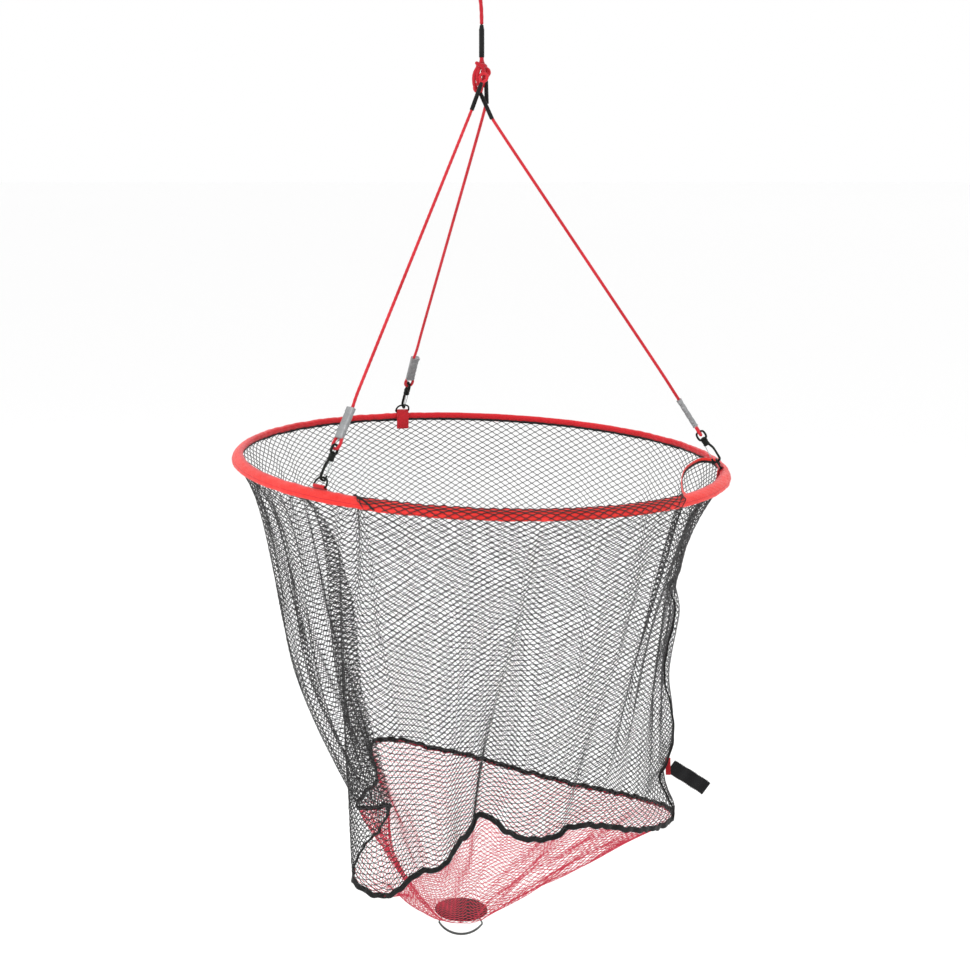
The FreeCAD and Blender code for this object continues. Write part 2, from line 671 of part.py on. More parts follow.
# A drooping strip, less everything nearer the seam than its root.
root = flap_axis + tab_thick / 2 + size("tab_clearance")
spare = size("strap_width") * math.tan(droop_angle)
strip_frame = Placement(Vector(root, 0, 0), Rotation(Vector(0, 1, 0), size("strap_droop")))
strip = primitive("Box", Width="strap_thick", Height="strap_width")
strip.Length = size("strap_length") + spare
strip.Placement = strip_frame.multiply(Placement(
    Vector(-spare, -size("strap_thick") / 2, -size("strap_width") / 2), Rotation()))
trim = primitive("Box", Placement(Vector(root - 2 * spare, -size("strap_width"), -2 * root_height),
                                  Rotation()))
trim.Length = 2 * spare
trim.Width = 2 * size("strap_width")
trim.Height = 4 * root_height
subpart(cut(strip, trim), "strap", strap_place)

# ---------------------------------------------------------------- check and write
doc.recompute()
for item in doc.Objects:
    if "Invalid" in item.State or "Error" in item.State:
        raise RuntimeError(f"{item.Name} ({item.Label}) is {item.State}")
for item in nodes:
    if item.Shape.isNull() or not item.Shape.isValid():
        raise RuntimeError(f"{item.Label} has no valid shape")
    if len(item.Shape.Solids) != 1:
        raise RuntimeError(f"{item.Label} is {len(item.Shape.Solids)} solids")
for item in nodes:
    item.Shape.exportStep(f"parts/{item.Label}.step")
print(f"{len(nodes)} sub-parts written")
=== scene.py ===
# %% [markdown]
# # A folding drop net, dressed over its CAD frame
# The object is a pier net for crabs: a sprung hoop in a red sleeve hangs on three cord legs, and a
# limp bag of black netting with a red base hangs from the hoop. The CAD gives every hard part its
# size and place. This lesson builds the looks: real twine for the net, braided cords, pressed
# sleeves, snap hooks, webbing and a fabric sleeve. Lengths are in metres, in the CAD's frame.

# %% Load the frame
import math
import bmesh
import bpy
import numpy as np
from mathutils import Matrix, Vector


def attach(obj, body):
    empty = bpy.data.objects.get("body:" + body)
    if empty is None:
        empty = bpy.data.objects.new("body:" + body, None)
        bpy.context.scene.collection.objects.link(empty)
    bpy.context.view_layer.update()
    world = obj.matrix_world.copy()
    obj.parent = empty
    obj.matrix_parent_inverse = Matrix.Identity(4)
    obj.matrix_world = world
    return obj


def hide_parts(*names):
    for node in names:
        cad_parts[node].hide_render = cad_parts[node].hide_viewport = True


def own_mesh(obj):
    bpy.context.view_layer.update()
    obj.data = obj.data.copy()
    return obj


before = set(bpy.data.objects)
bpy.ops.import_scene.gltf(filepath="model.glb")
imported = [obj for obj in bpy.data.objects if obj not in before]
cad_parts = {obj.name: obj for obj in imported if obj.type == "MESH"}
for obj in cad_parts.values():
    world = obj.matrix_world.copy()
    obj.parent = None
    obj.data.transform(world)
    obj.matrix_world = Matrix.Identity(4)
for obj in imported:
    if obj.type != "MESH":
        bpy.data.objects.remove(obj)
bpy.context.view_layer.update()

# %% [markdown]
# ## Frames
# The hoop lies in a plane that leans 2.3 degrees to the right, and each leg has a frame of its own:
# Z up the leg, Y along the hoop and X outwards. Working in these frames keeps every piece's numbers
# simple, because a snap hook is upright in its leg's frame.

# %% Hoop and leg frames
HOOP_R = 0.390
HOOP_Z = -0.867
HOOP_LEAN = 2.3
ROPE_BAR_Z = -0.280
HOOP = Matrix.Translation((0, 0, HOOP_Z)) @ Matrix.Rotation(math.radians(HOOP_LEAN), 4, "Y")
NORMAL = HOOP.to_3x3() @ Vector((0, 0, 1))
LEGS = {"left": (232.0, -1), "rear": (112.0, 1), "right": (-6.0, 0)}     # azimuth, place on the rope
LEG_PITCH = 0.0054      # from one leg's eye to the next along the rope's loop
SLEEVE_ENDS = {     # upper and lower end of each leg's shrunk sleeve
    "left": ((0.0000, -0.0085, -0.2740), (-0.0155, -0.0125, -0.3157)),
    "rear": ((0.0066, 0.0060, -0.2670), (0.0078, 0.0110, -0.3060)),
    "right": ((-0.0020, -0.0015, -0.2900), (0.0160, -0.0035, -0.3290))}


def leg_frame(azimuth, place):
    """The leg's frame from its azimuth round the hoop, and its length to the rope's bar."""
    a = math.radians(azimuth)
    foot = HOOP @ Vector((HOOP_R * math.cos(a), HOOP_R * math.sin(a), 0))
    up = Vector((0, place * LEG_PITCH, ROPE_BAR_Z)) - foot
    around = HOOP.to_3x3() @ Vector((-math.sin(a), math.cos(a), 0))
    out = around.cross(up).normalized()
    z = up.normalized()
    rows = Matrix((out, z.cross(out), z)).transposed().to_4x4()
    return Matrix.Translation(foot) @ rows, up.length


FRAMES = {name: leg_frame(*facts) for name, facts in LEGS.items()}
print("leg lengths", {name: round(length, 4) for name, (_, length) in FRAMES.items()})


def place_points(matrix, points):
    """Points moved by a matrix, as an array."""
    m = np.array(matrix)
    return np.asarray(points, float) @ m[:3, :3].T + m[:3, 3]


def hoop_point(radius, azimuth, z):
    """A point in the row's frame from a radius, an azimuth in degrees and a height at the hoop."""
    a = np.radians(np.asarray(azimuth, float))
    local = np.stack(np.broadcast_arrays(radius * np.cos(a), radius * np.sin(a), z), -1)
    return place_points(HOOP, local.reshape(-1, 3)).reshape(local.shape)


# %% [markdown]
# ## One sweep for everything that is long
# Cords, wires, tapes and straps are all a section carried along a line. A sweep writes the mesh
# itself instead of bevelling a curve, so that the section can change along the way, which is how
# the braid, the crimped ends and the twine get real relief. UVs are in metres, along and round, so
# that one weave has the same scale on every piece.

# %% Mesh maker
def mesh_object(name, points, faces, material, uv=None, smooth=True):
    """A mesh object from arrays: corners of one size per call, UVs per vertex."""
    points = np.asarray(points, np.float32).reshape(-1, 3)
    faces = np.asarray(faces, np.int32)
    mesh = bpy.data.meshes.new(name)
    mesh.vertices.add(len(points))
    mesh.vertices.foreach_set("co", points.ravel())
    mesh.loops.add(faces.size)
    mesh.loops.foreach_set("vertex_index", faces.ravel())
    mesh.polygons.add(len(faces))
    mesh.polygons.foreach_set("loop_start", np.arange(len(faces), dtype=np.int32) * faces.shape[1])
    mesh.polygons.foreach_set("use_smooth", np.full(len(faces), smooth))
    if uv is not None:
        layer = mesh.uv_layers.new(name="UVMap")
        layer.uv.foreach_set("vector", np.asarray(uv, np.float32)[faces.ravel()].ravel())
    mesh.update(calc_edges=True)
    mesh.validate()
    mesh.materials.append(material)
    obj = bpy.data.objects.new(name, mesh)
    bpy.context.scene.collection.objects.link(obj)
    return obj


# %% Sweep
def turning_frames(points, closed=False, hint=(0, 1, 0)):
    """Tangents and two cross directions along a line, without twist."""
    points = np.asarray(points, float)
    if closed:
        tangents = np.roll(points, -1, 0) - np.roll(points, 1, 0)
    else:
        tangents = np.gradient(points, axis=0)
    tangents /= np.linalg.norm(tangents, axis=1)[:, None]
    first = np.array(hint, float)
    normals = []
    for t in tangents:
        first = first - t * first.dot(t)
        first /= np.linalg.norm(first)
        normals.append(first)
    normals = np.array(normals)
    if closed:      # share out the twist that is left at the end
        t = tangents[0]
        last = normals[-1] - t * normals[-1].dot(t)
        angle = math.atan2(np.cross(last, normals[0]).dot(t), last.dot(normals[0]))
        turns = angle * np.arange(len(points)) / len(points)
        side = np.cross(tangents, normals)
        normals = normals * np.cos(turns)[:, None] + side * np.sin(turns)[:, None]
    return tangents, normals, np.cross(tangents, normals)


def sweep(name, points, section, material, closed=False, hint=(0, 1, 0)):
    """Carry a closed section along a line. The section is (m, 2), or (n, m, 2) where it changes."""
    points = np.asarray(points, float)
    _, normals, sides = turning_frames(points, closed, hint)
    section = np.asarray(section, float)
    if section.ndim == 2:
        section = np.repeat(section[None], len(points), 0)
    n, m = section.shape[:2]
    verts = (points[:, None] + section[:, :, :1] * normals[:, None]
             + section[:, :, 1:] * sides[:, None]).reshape(-1, 3)
    i, j = np.meshgrid(np.arange(n if closed else n - 1), np.arange(m), indexing="ij")
    i2, j2 = (i + 1) % n, (j + 1) % m
    faces = np.stack([i * m + j, i * m + j2, i2 * m + j2, i2 * m + j], -1).reshape(-1, 4)
    along = np.concatenate([[0], np.cumsum(np.linalg.norm(np.diff(points, axis=0), axis=1))])
    edge = np.linalg.norm(np.diff(section[0], axis=0, append=section[0][:1]), axis=1)
    around = np.concatenate([[0], np.cumsum(edge)[:-1]])
    uv = np.stack([np.repeat(along, m), np.tile(around, n)], 1)
    if not closed:      # close both ends with a fan of triangles
        ends = np.array([points[0], points[-1]])
        verts = np.concatenate([verts, ends])
        uv = np.concatenate([uv, [[0, 0], [along[-1], 0]]])
        j = np.arange(m)
        start = np.stack([np.full(m, n * m), (j + 1) % m, j], 1)
        stop = np.stack([np.full(m, n * m + 1), (n - 1) * m + j, (n - 1) * m + (j + 1) % m], 1)
        tris = np.concatenate([start, stop])
        obj = mesh_object(name, verts, faces, material, uv)
        add_faces(obj, tris, uv)
        return obj
    return mesh_object(name, verts, faces, material, uv)


def add_faces(obj, tris, uv):
    """Append triangles to a mesh that has quads, with their UVs."""
    bm = bmesh.new()
    bm.from_mesh(obj.data)
    bm.verts.ensure_lookup_table()
    layer = bm.loops.layers.uv.active
    for tri in tris:
        try:
            face = bm.faces.new([bm.verts[k] for k in tri])
        except ValueError:
            continue
        for loop, k in zip(face.loops, tri):
            loop[layer].uv = uv[k]
    bm.to_mesh(obj.data)
    bm.free()


# %% Sections and smooth lines
def ring(radius, sides):
    """A round section."""
    t = np.arange(sides) * 2 * math.pi / sides
    return np.stack([radius * np.cos(t), radius * np.sin(t)], 1)


def slab(width, thick, corner, steps=4):
    """A flat section with rounded corners: width is along the normal."""
    half_w, half_t = width / 2 - corner, thick / 2 - corner
    points = []
    for cx, cy, start in ((half_w, half_t, 0), (-half_w, half_t, 90), (-half_w, -half_t, 180),
                          (half_w, -half_t, 270)):
        for k in range(steps + 1):
            t = math.radians(start + 90 * k / steps)
            points.append((cx + corner * math.cos(t), cy + corner * math.sin(t)))
    return np.array(points)


def smooth_line(points, step, closed=False):
    """Evenly spaced points along a smooth curve through or near the given ones."""
    points = np.asarray(points, float)
    for _ in range(4):      # corner cutting gives a quadratic spline
        after = np.roll(points, -1, 0)
        if not closed:
            points, after = points[:-1], after[:-1]
        cut = np.stack([0.75 * points + 0.25 * after, 0.25 * points + 0.75 * after], 1)
        cut = cut.reshape(-1, points.shape[1])
        if not closed:
            cut[0], cut[-1] = points[0], after[-1]
        points = cut
    loop = np.concatenate([points, points[:1]]) if closed else points
    along = np.concatenate([[0], np.cumsum(np.linalg.norm(np.diff(loop, axis=0), axis=1))])
    count = max(3, int(along[-1] / step))
    at = np.linspace(0, along[-1], count + 1)[:-1] if closed else np.linspace(0, along[-1], count)
    return np.stack([np.interp(at, along, loop[:, k]) for k in range(points.shape[1])], 1)


print("a 25 x 2 mm strap's section has", len(slab(0.025, 0.002, 0.0007)), "points")

# %% [markdown]
# ## Surface effects that several materials share
# Cord, webbing and sleeve fabric differ in colour, but all are woven, gather dust and fade unevenly.
# Each effect is one node group with named sockets, so that a material only sets its own values.
# The groups put out heights, masks and colours. The shaders stay in the materials.

# %% Node helpers
def new_group(name, inputs, outputs):
    """A shader node group with named sockets. Returns the group and its input and output nodes."""
    group = bpy.data.node_groups.new(name, "ShaderNodeTree")
    for label, kind, value in inputs:
        socket = group.interface.new_socket(label, in_out="INPUT", socket_type=kind)
        if value is not None:
            socket.default_value = value
    for label, kind in outputs:
        group.interface.new_socket(label, in_out="OUTPUT", socket_type=kind)
    return group, group.nodes.new("NodeGroupInput"), group.nodes.new("NodeGroupOutput")


def math_node(tree, operation, a, b=None):
    """A math node whose inputs are sockets or numbers. Returns its value."""
    node = tree.nodes.new("ShaderNodeMath")
    node.operation = operation
    for slot_, value in zip(node.inputs, (a, b)):
        if isinstance(value, bpy.types.NodeSocket):
            tree.links.new(value, slot_)
        elif value is not None:
            slot_.default_value = value
    return node.outputs[0]


FLOAT, COLOUR, VECTOR = "NodeSocketFloat", "NodeSocketColor", "NodeSocketVector"
print("node helpers ready")

# %% [markdown]
# ### Weave
# Two sets of threads cross, over and under. Two sine waves along and across the tape, multiplied,
# give the raised squares of a plain weave. Turned by 45 degrees it is a braid's chevrons.

# %% Weave group
weave, gin, gout = new_group(
    "Weave",
    [("Vector", VECTOR, None), ("Thread", FLOAT, 0.001), ("Turn", FLOAT, 0.0)],
    [("Height", FLOAT), ("Gaps", FLOAT)])
turn = weave.nodes.new("ShaderNodeVectorRotate")
turn.rotation_type = "Z_AXIS"
weave.links.new(gin.outputs["Vector"], turn.inputs["Vector"])
weave.links.new(gin.outputs["Turn"], turn.inputs["Angle"])
split = weave.nodes.new("ShaderNodeSeparateXYZ")
weave.links.new(turn.outputs[0], split.inputs[0])
pitch = math_node(weave, "DIVIDE", math.pi, gin.outputs["Thread"])
waves = [math_node(weave, "SINE", math_node(weave, "MULTIPLY", split.outputs[k], pitch))
         for k in (0, 1)]
product = math_node(weave, "MULTIPLY", waves[0], waves[1])
height = math_node(weave, "ADD", math_node(weave, "MULTIPLY", product, 0.5), 0.5)
weave.links.new(height, gout.inputs["Height"])
# Gaps is 1 between the raised squares; the materials darken their colour there as painted shade
flat = math_node(weave, "MULTIPLY", math_node(weave, "ABSOLUTE", waves[0]),
                 math_node(weave, "ABSOLUTE", waves[1]))
weave.links.new(math_node(weave, "SUBTRACT", 1.0, flat), gout.inputs["Gaps"])
print("weave group:", len(weave.nodes), "nodes")

# %% [markdown]
# ### Mottle
# Dye, dust and handling leave soft patches of lighter and darker colour. Two scales of noise move
# the colour between a light and a dark version of itself.

# %% Mottle group
mottle, gin, gout = new_group(
    "Mottle",
    [("Vector", VECTOR, None), ("Dark", COLOUR, (0.1, 0.1, 0.1, 1)),
     ("Light", COLOUR, (0.3, 0.3, 0.3, 1)), ("Scale", FLOAT, 20.0), ("Fine", FLOAT, 200.0)],
    [("Color", COLOUR), ("Mask", FLOAT)])
noises = []
for socket in ("Scale", "Fine"):
    noise = mottle.nodes.new("ShaderNodeTexNoise")
    noise.inputs["Detail"].default_value = 3.0
    mottle.links.new(gin.outputs["Vector"], noise.inputs["Vector"])
    mottle.links.new(gin.outputs[socket], noise.inputs["Scale"])
    noises.append(noise.outputs["Fac"])
total = math_node(mottle, "ADD", math_node(mottle, "MULTIPLY", noises[0], 0.6),
                  math_node(mottle, "MULTIPLY", noises[1], 0.4))
spread = mottle.nodes.new("ShaderNodeMapRange")
spread.inputs["From Min"].default_value = 0.35
spread.inputs["From Max"].default_value = 0.65
mottle.links.new(total, spread.inputs["Value"])
mix = mottle.nodes.new("ShaderNodeMix")
mix.data_type = "RGBA"
mottle.links.new(spread.outputs[0], mix.inputs["Factor"])
mottle.links.new(gin.outputs["Dark"], mix.inputs[6])
mottle.links.new(gin.outputs["Light"], mix.inputs[7])
mottle.links.new(mix.outputs[2], gout.inputs["Color"])
mottle.links.new(spread.outputs[0], gout.inputs["Mask"])
print("mottle group:", len(mottle.nodes), "nodes")

# %% [markdown]
# ### Scuffs
# Metal that is pressed or handled has fine scratches along one direction and small dents. Noise
# stretched along one axis gives the scratches.

# %% Scuff group
scuff, gin, gout = new_group(
    "Scuffs",
    [("Vector", VECTOR, None), ("Scale", FLOAT, 300.0)],
    [("Height", FLOAT), ("Wear", FLOAT)])
stretch = scuff.nodes.new("ShaderNodeMapping")
stretch.inputs["Scale"].default_value = (1.0, 1.0, 0.12)
scuff.links.new(gin.outputs["Vector"], stretch.inputs["Vector"])
streaks = scuff.nodes.new("ShaderNodeTexNoise")
streaks.inputs["Detail"].default_value = 4.0
scuff.links.new(stretch.outputs[0], streaks.inputs["Vector"])
scuff.links.new(gin.outputs["Scale"], streaks.inputs["Scale"])
dents = scuff.nodes.new("ShaderNodeTexVoronoi")
scuff.links.new(gin.outputs["Vector"], dents.inputs["Vector"])
scuff.links.new(math_node(scuff, "MULTIPLY", gin.outputs["Scale"], 0.8), dents.inputs["Scale"])
scuff.links.new(math_node(scuff, "ADD", streaks.outputs["Fac"],
                          math_node(scuff, "MULTIPLY", dents.outputs["Distance"], 0.3)),
                gout.inputs["Height"])
scuff.links.new(streaks.outputs["Fac"], gout.inputs["Wear"])
print("scuff group:", len(scuff.nodes), "nodes")

# %% [markdown]
# ### One maker for all the materials
# Every material here is a Principled BSDF with the same plan: mottled colour, painted shade in a
# weave's gaps, a height from a weave or from scuffs, and its own roughness, sheen and metal. Writing
# the plan once keeps each material to one line of values, and the differences easy to read.

# %% Material maker
def material(name, dark, light, rough, weave_size=None, turn_angle=0.0, bump=0.3, sheen=0.0,
             metallic=0.0, coat=0.0, shine=0.18, scale=20.0, fine=400.0, gap_shade=0.0, scuffed=None):
    """A Principled material: mottled colour, painted shade in the weave's gaps, and a bump from a
    weave on the UVs, or from scuffs.
    """
    mat = bpy.data.materials.new(name)
    mat.use_nodes = True
    tree = mat.node_tree
    shader = tree.nodes["Principled BSDF"]
    shader.inputs["Roughness"].default_value = rough
    shader.inputs["Metallic"].default_value = metallic
    shader.inputs["Sheen Weight"].default_value = sheen
    shader.inputs["Coat Weight"].default_value = coat
    shader.inputs["Specular IOR Level"].default_value = shine
    coords = tree.nodes.new("ShaderNodeTexCoord")

    def group(kind, vector, **values):
        node = tree.nodes.new("ShaderNodeGroup")
        node.node_tree = kind
        tree.links.new(vector, node.inputs["Vector"])
        for label, value in values.items():
            node.inputs[label].default_value = value
        return node

    tone = group(mottle, coords.outputs["Object"], Dark=(*dark, 1), Light=(*light, 1), Scale=scale,
                 Fine=fine)
    colour = tone.outputs["Color"]
    height_ = None
    if weave_size:
        cloth = group(weave, coords.outputs["UV"], Thread=weave_size, Turn=turn_angle)
        height_ = cloth.outputs["Height"]
        # painted shade: the colour is darkened in the weave's gaps between threads
        if gap_shade:
            shade = tree.nodes.new("ShaderNodeMix")
            shade.data_type = "RGBA"
            shade.blend_type = "MULTIPLY"
            tree.links.new(math_node(tree, "MULTIPLY", cloth.outputs["Gaps"], gap_shade),
                           shade.inputs["Factor"])
            tree.links.new(colour, shade.inputs[6])
            shade.inputs[7].default_value = (0.25, 0.25, 0.25, 1)
            colour = shade.outputs[2]
    if scuffed:
        marks = group(scuff, coords.outputs["Object"], Scale=scuffed)
        height_ = marks.outputs["Height"]
        tree.links.new(math_node(tree, "ADD", rough - 0.1,
                                 math_node(tree, "MULTIPLY", marks.outputs["Wear"], 0.25)),
                       shader.inputs["Roughness"])
    tree.links.new(colour, shader.inputs["Base Color"])
    if height_ is not None:
        relief = tree.nodes.new("ShaderNodeBump")
        relief.inputs["Strength"].default_value = bump
        relief.inputs["Distance"].default_value = (weave_size or 0.001) * 0.5
        tree.links.new(height_, relief.inputs["Height"])
        tree.links.new(relief.outputs["Normal"], shader.inputs["Normal"])
    return mat


# %% [markdown]
# ### The materials
# Colours are linear values. Reds are bright and a little orange on the coated sleeve, deeper on the
# cords. Blacks are never pure: twine is a dark grey that keeps its shape in the light.

# %% Materials
HALF_TURN = math.radians(45)
MATS = {
    "rope": material("RopeRed", (0.50, 0.006, 0.018), (0.72, 0.018, 0.035), 0.55, 0.0012, HALF_TURN,
                     bump=0.5, sheen=0.2, gap_shade=0.5),
    "cord": material("CordRed", (0.60, 0.010, 0.022), (0.80, 0.028, 0.045), 0.5, 0.0010, HALF_TURN,
                     bump=0.5, sheen=0.2, gap_shade=0.45),
    "shrink": material("HeatShrink", (0.007, 0.007, 0.007), (0.018, 0.018, 0.018), 0.42,
                       scuffed=180.0, bump=0.15, shine=0.1),
    "steel": material("SpringSteel", (0.30, 0.31, 0.32), (0.42, 0.43, 0.44), 0.35, scuffed=400.0,
                      metallic=1.0),
    "lead": material("CastLead", (0.10, 0.105, 0.11), (0.17, 0.175, 0.18), 0.55, scuffed=200.0,
                     metallic=0.9, bump=0.3),
    "sleeve": material("SleeveFabric", (0.76, 0.022, 0.018), (0.92, 0.045, 0.036), 0.48, 0.0006,
                       bump=0.35, sheen=0.15, scale=14.0, gap_shade=0.15),
    "twine": material("TwineBlack", (0.010, 0.010, 0.011), (0.028, 0.027, 0.028), 0.6, 0.0004,
                      HALF_TURN, bump=0.4, sheen=0.1, scale=60.0, gap_shade=0.3),
    "twine_red": material("TwineRed", (0.78, 0.020, 0.060), (0.93, 0.050, 0.105), 0.6, 0.0004,
                          HALF_TURN, bump=0.4, sheen=0.1, scale=60.0, gap_shade=0.3),
    "binding": material("BindingBlack", (0.006, 0.006, 0.006), (0.018, 0.018, 0.018), 0.75, 0.0008,
                        bump=0.6, sheen=0.1, gap_shade=0.4),
    "patch": material("PatchBlack", (0.010, 0.009, 0.010), (0.024, 0.020, 0.022), 0.8, 0.0011,
                      bump=0.7, sheen=0.15, gap_shade=0.5),
    "ring": material("RingSteel", (0.045, 0.050, 0.046), (0.11, 0.115, 0.11), 0.42, scuffed=250.0,
                     metallic=0.85, bump=0.2),
    "crimp": material("PressedAluminium", (0.24, 0.245, 0.25), (0.36, 0.365, 0.37), 0.5,
                      scuffed=260.0, metallic=0.75, bump=0.35),
    "black_metal": material("CoatedMetal", (0.004, 0.005, 0.004), (0.012, 0.014, 0.012), 0.36,
                            scuffed=300.0, metallic=0.2, bump=0.2, coat=0.05, shine=0.12),
    "gate": material("GateWire", (0.45, 0.48, 0.47), (0.62, 0.66, 0.65), 0.25, scuffed=500.0,
                     metallic=1.0, bump=0.1),
    "webbing": material("WebbingRed", (0.50, 0.006, 0.016), (0.72, 0.020, 0.030), 0.65, 0.0011,
                        bump=0.7, sheen=0.2, gap_shade=0.4),
    "strap": material("StrapBlack", (0.006, 0.006, 0.007), (0.014, 0.014, 0.015), 0.85, 0.0007,
                      bump=0.8, sheen=0.25, gap_shade=0.3),
}
print(len(MATS), "materials")

# %% [markdown]
# ### Painted shade on the sleeve's inner face
# The fabric's inner side lies in its own shade, and that shade is painted into its colour: the inner
# face is multiplied deeper and cooler. The sleeve's UVs run round the tube in metres, so their
# second number says which way the fabric faces, and two ramps on it make the painted shade's mask.

# %% Painted shade inside the sleeve
SLEEVE_UV_R = 0.0097    # the radius that the sleeve's UVs are measured at


def paint_inside_shade(mat, radius):
    """Paint shade on the sleeve's inner face: multiply its colour where the UV's second number picks
    it out.
    """
    tree = mat.node_tree
    shader = tree.nodes["Principled BSDF"]
    source = shader.inputs["Base Color"].links[0].from_socket
    coords = next(n for n in tree.nodes if n.bl_idname == "ShaderNodeTexCoord")
    split_ = tree.nodes.new("ShaderNodeSeparateXYZ")
    tree.links.new(coords.outputs["UV"], split_.inputs[0])
    masks = []
    for lo, hi in ((95, 125), (300, 270)):
        ramp = tree.nodes.new("ShaderNodeMapRange")
        ramp.inputs["From Min"].default_value = math.radians(lo) * radius
        ramp.inputs["From Max"].default_value = math.radians(hi) * radius
        tree.links.new(split_.outputs["Y"], ramp.inputs["Value"])
        masks.append(ramp.outputs[0])
    shade = tree.nodes.new("ShaderNodeMix")
    shade.data_type = "RGBA"
    shade.blend_type = "MULTIPLY"
    tree.links.new(math_node(tree, "MULTIPLY", *masks), shade.inputs["Factor"])
    tree.links.new(source, shade.inputs[6])
    # painted shade: the inner face's colour is multiplied by this
    shade.inputs[7].default_value = (0.78, 0.35, 0.75, 1)
    tree.links.new(shade.outputs[2], shader.inputs["Base Color"])


paint_inside_shade(MATS["sleeve"], SLEEVE_UV_R)
print("sleeve material has", len(MATS["sleeve"].node_tree.nodes), "nodes")

# %% [markdown]
# ## One call for every piece
# Each visible piece rides on a body of the frame and stands for one or more CAD nodes, which
# are then hidden. The soft pieces of the bag are also kept in a list.

# %% Piece helper
PIECES, SOFT = [], []


def piece(obj, body, slot, *nodes, squash=False):
    """Let a piece ride on its body and hide the CAD nodes it stands for. The slot argument is not
    used.
    """
    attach(obj, body)
    if nodes:
        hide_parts(*nodes)
    if squash:
        SOFT.append(obj)
    PIECES.append(obj)
    return obj


# %% [markdown]
# ## Braided rope and cords
# A braid shows as small diamonds where strands cross. The section's radius swells where either of
# two opposite spirals passes, so the outline and the light both show the braid. The line itself is
# the same route as in the CAD, as one NURBS spline, and the tube reads its points back from it.

# %% Cord maker
def spline_points(name, points):
    """The points along one NURBS spline of order 3 that runs to its ends."""
    curve = bpy.data.curves.new(name, "CURVE")
    curve.dimensions = "3D"
    curve.resolution_u = 24
    line = curve.splines.new("NURBS")
    line.points.add(len(points) - 1)
    for spot, point in zip(line.points, points):
        spot.co = (*point, 1.0)
    line.order_u = 3
    line.use_endpoint_u = True
    holder = bpy.data.objects.new(name, curve)
    mesh = bpy.data.meshes.new_from_object(holder)
    found = np.array([v.co[:] for v in mesh.vertices])
    bpy.data.meshes.remove(mesh)
    bpy.data.objects.remove(holder)
    bpy.data.curves.remove(curve)
    keep = np.concatenate([[True], np.linalg.norm(np.diff(found, axis=0), axis=1) > 1e-4])
    return found[keep]


def evenly(points, step):
    """The same line with even steps."""
    along = np.concatenate([[0], np.cumsum(np.linalg.norm(np.diff(points, axis=0), axis=1))])
    at = np.linspace(0, along[-1], max(4, int(along[-1] / step)))
    return np.stack([np.interp(at, along, points[:, k]) for k in range(3)], 1), along[-1]


def braid(name, points, diameter, material_, strands=4, pitch_=0.010, hint=(0, 1, 0.1), ends=True):
    """A braided tube along a line."""
    line, length = evenly(np.asarray(points, float), 0.0008)
    sides = 16
    t = np.arange(sides) * 2 * math.pi / sides
    s = np.linspace(0, length, len(line))[:, None]
    phase = 2 * math.pi * s / pitch_
    swell = np.maximum(np.cos(strands * t + phase), np.cos(strands * t - phase))
    radius = diameter / 2 * (0.955 + 0.05 * swell)
    if ends:        # melted, rounded ends
        from_end = np.minimum(s, length - s) / (diameter / 2)
        radius = radius * np.sqrt(np.clip(1 - (1 - np.clip(from_end, 0, 1)) ** 2, 0.02, 1))
    section = np.stack([radius * np.cos(t), radius * np.sin(t)], -1)
    return sweep(name, line, section, material_, hint=hint), length


# %% Main rope
ROPE_D = 0.006
rope_route = [(0, 0, -0.1877), (0, 0, -0.1648), (-0.0031, 0, -0.1408), (-0.0031, 0, -0.0939),
              (-0.011, 0, -0.068), (-0.023, 0, -0.0439), (-0.027, 0, -0.0201), (-0.013, 0, 0.003),
              (0.013, 0, 0.003), (0.027, 0, -0.021), (0.022, 0, -0.045), (0.011, 0, -0.0689),
              (0.0031, 0, -0.0939), (0.0031, 0, -0.1338)]
rope_path = spline_points("RopeRoute", rope_route)
rope, rope_length = braid("main_rope_braid", rope_path, ROPE_D, MATS["rope"], pitch_=0.012)
piece(rope, "rope", "rope_red", "main_rope")
print(f"main rope {rope_length:.3f} m")

# %% [markdown]
# ## Heat-shrink sleeves
# Shrunk tube follows what is under it: it is oval over two strands, narrows at the end where only
# one strand goes on, and its edge is a thin rim. The section is an oval whose size changes along
# the sleeve, with faint ripples from the strands inside.

# %% Heat-shrink sleeves
def shrink_sleeve(name, matrix, start, end, wide, deep, narrow_end):
    """An oval tube up the frame's Z, from start to end; wide is along Y and deep along X."""
    z = np.linspace(start, end, 60)
    share = (z - start) / (end - start)
    taper = 1 - (1 - narrow_end) * np.clip((share - 0.86) / 0.14, 0, 1) ** 0.8
    taper *= 1 - 0.06 * np.clip(1 - share / 0.04, 0, 1)
    ripple = 1 + 0.012 * np.sin(share * 47) + 0.008 * np.sin(share * 91 + 1)
    t = np.arange(28) * 2 * math.pi / 28
    x = np.sign(np.cos(t)) * np.abs(np.cos(t)) ** 0.8
    y = np.sign(np.sin(t)) * np.abs(np.sin(t)) ** 0.8
    scale = (taper * ripple)[:, None]
    section = np.stack([deep / 2 * x * scale, wide / 2 * y * scale], -1)
    line = place_points(matrix, np.stack([0 * z, 0 * z, z], 1))
    across = np.array(matrix)[:3, 0]
    return sweep(name, line, section, MATS["shrink"], hint=across)


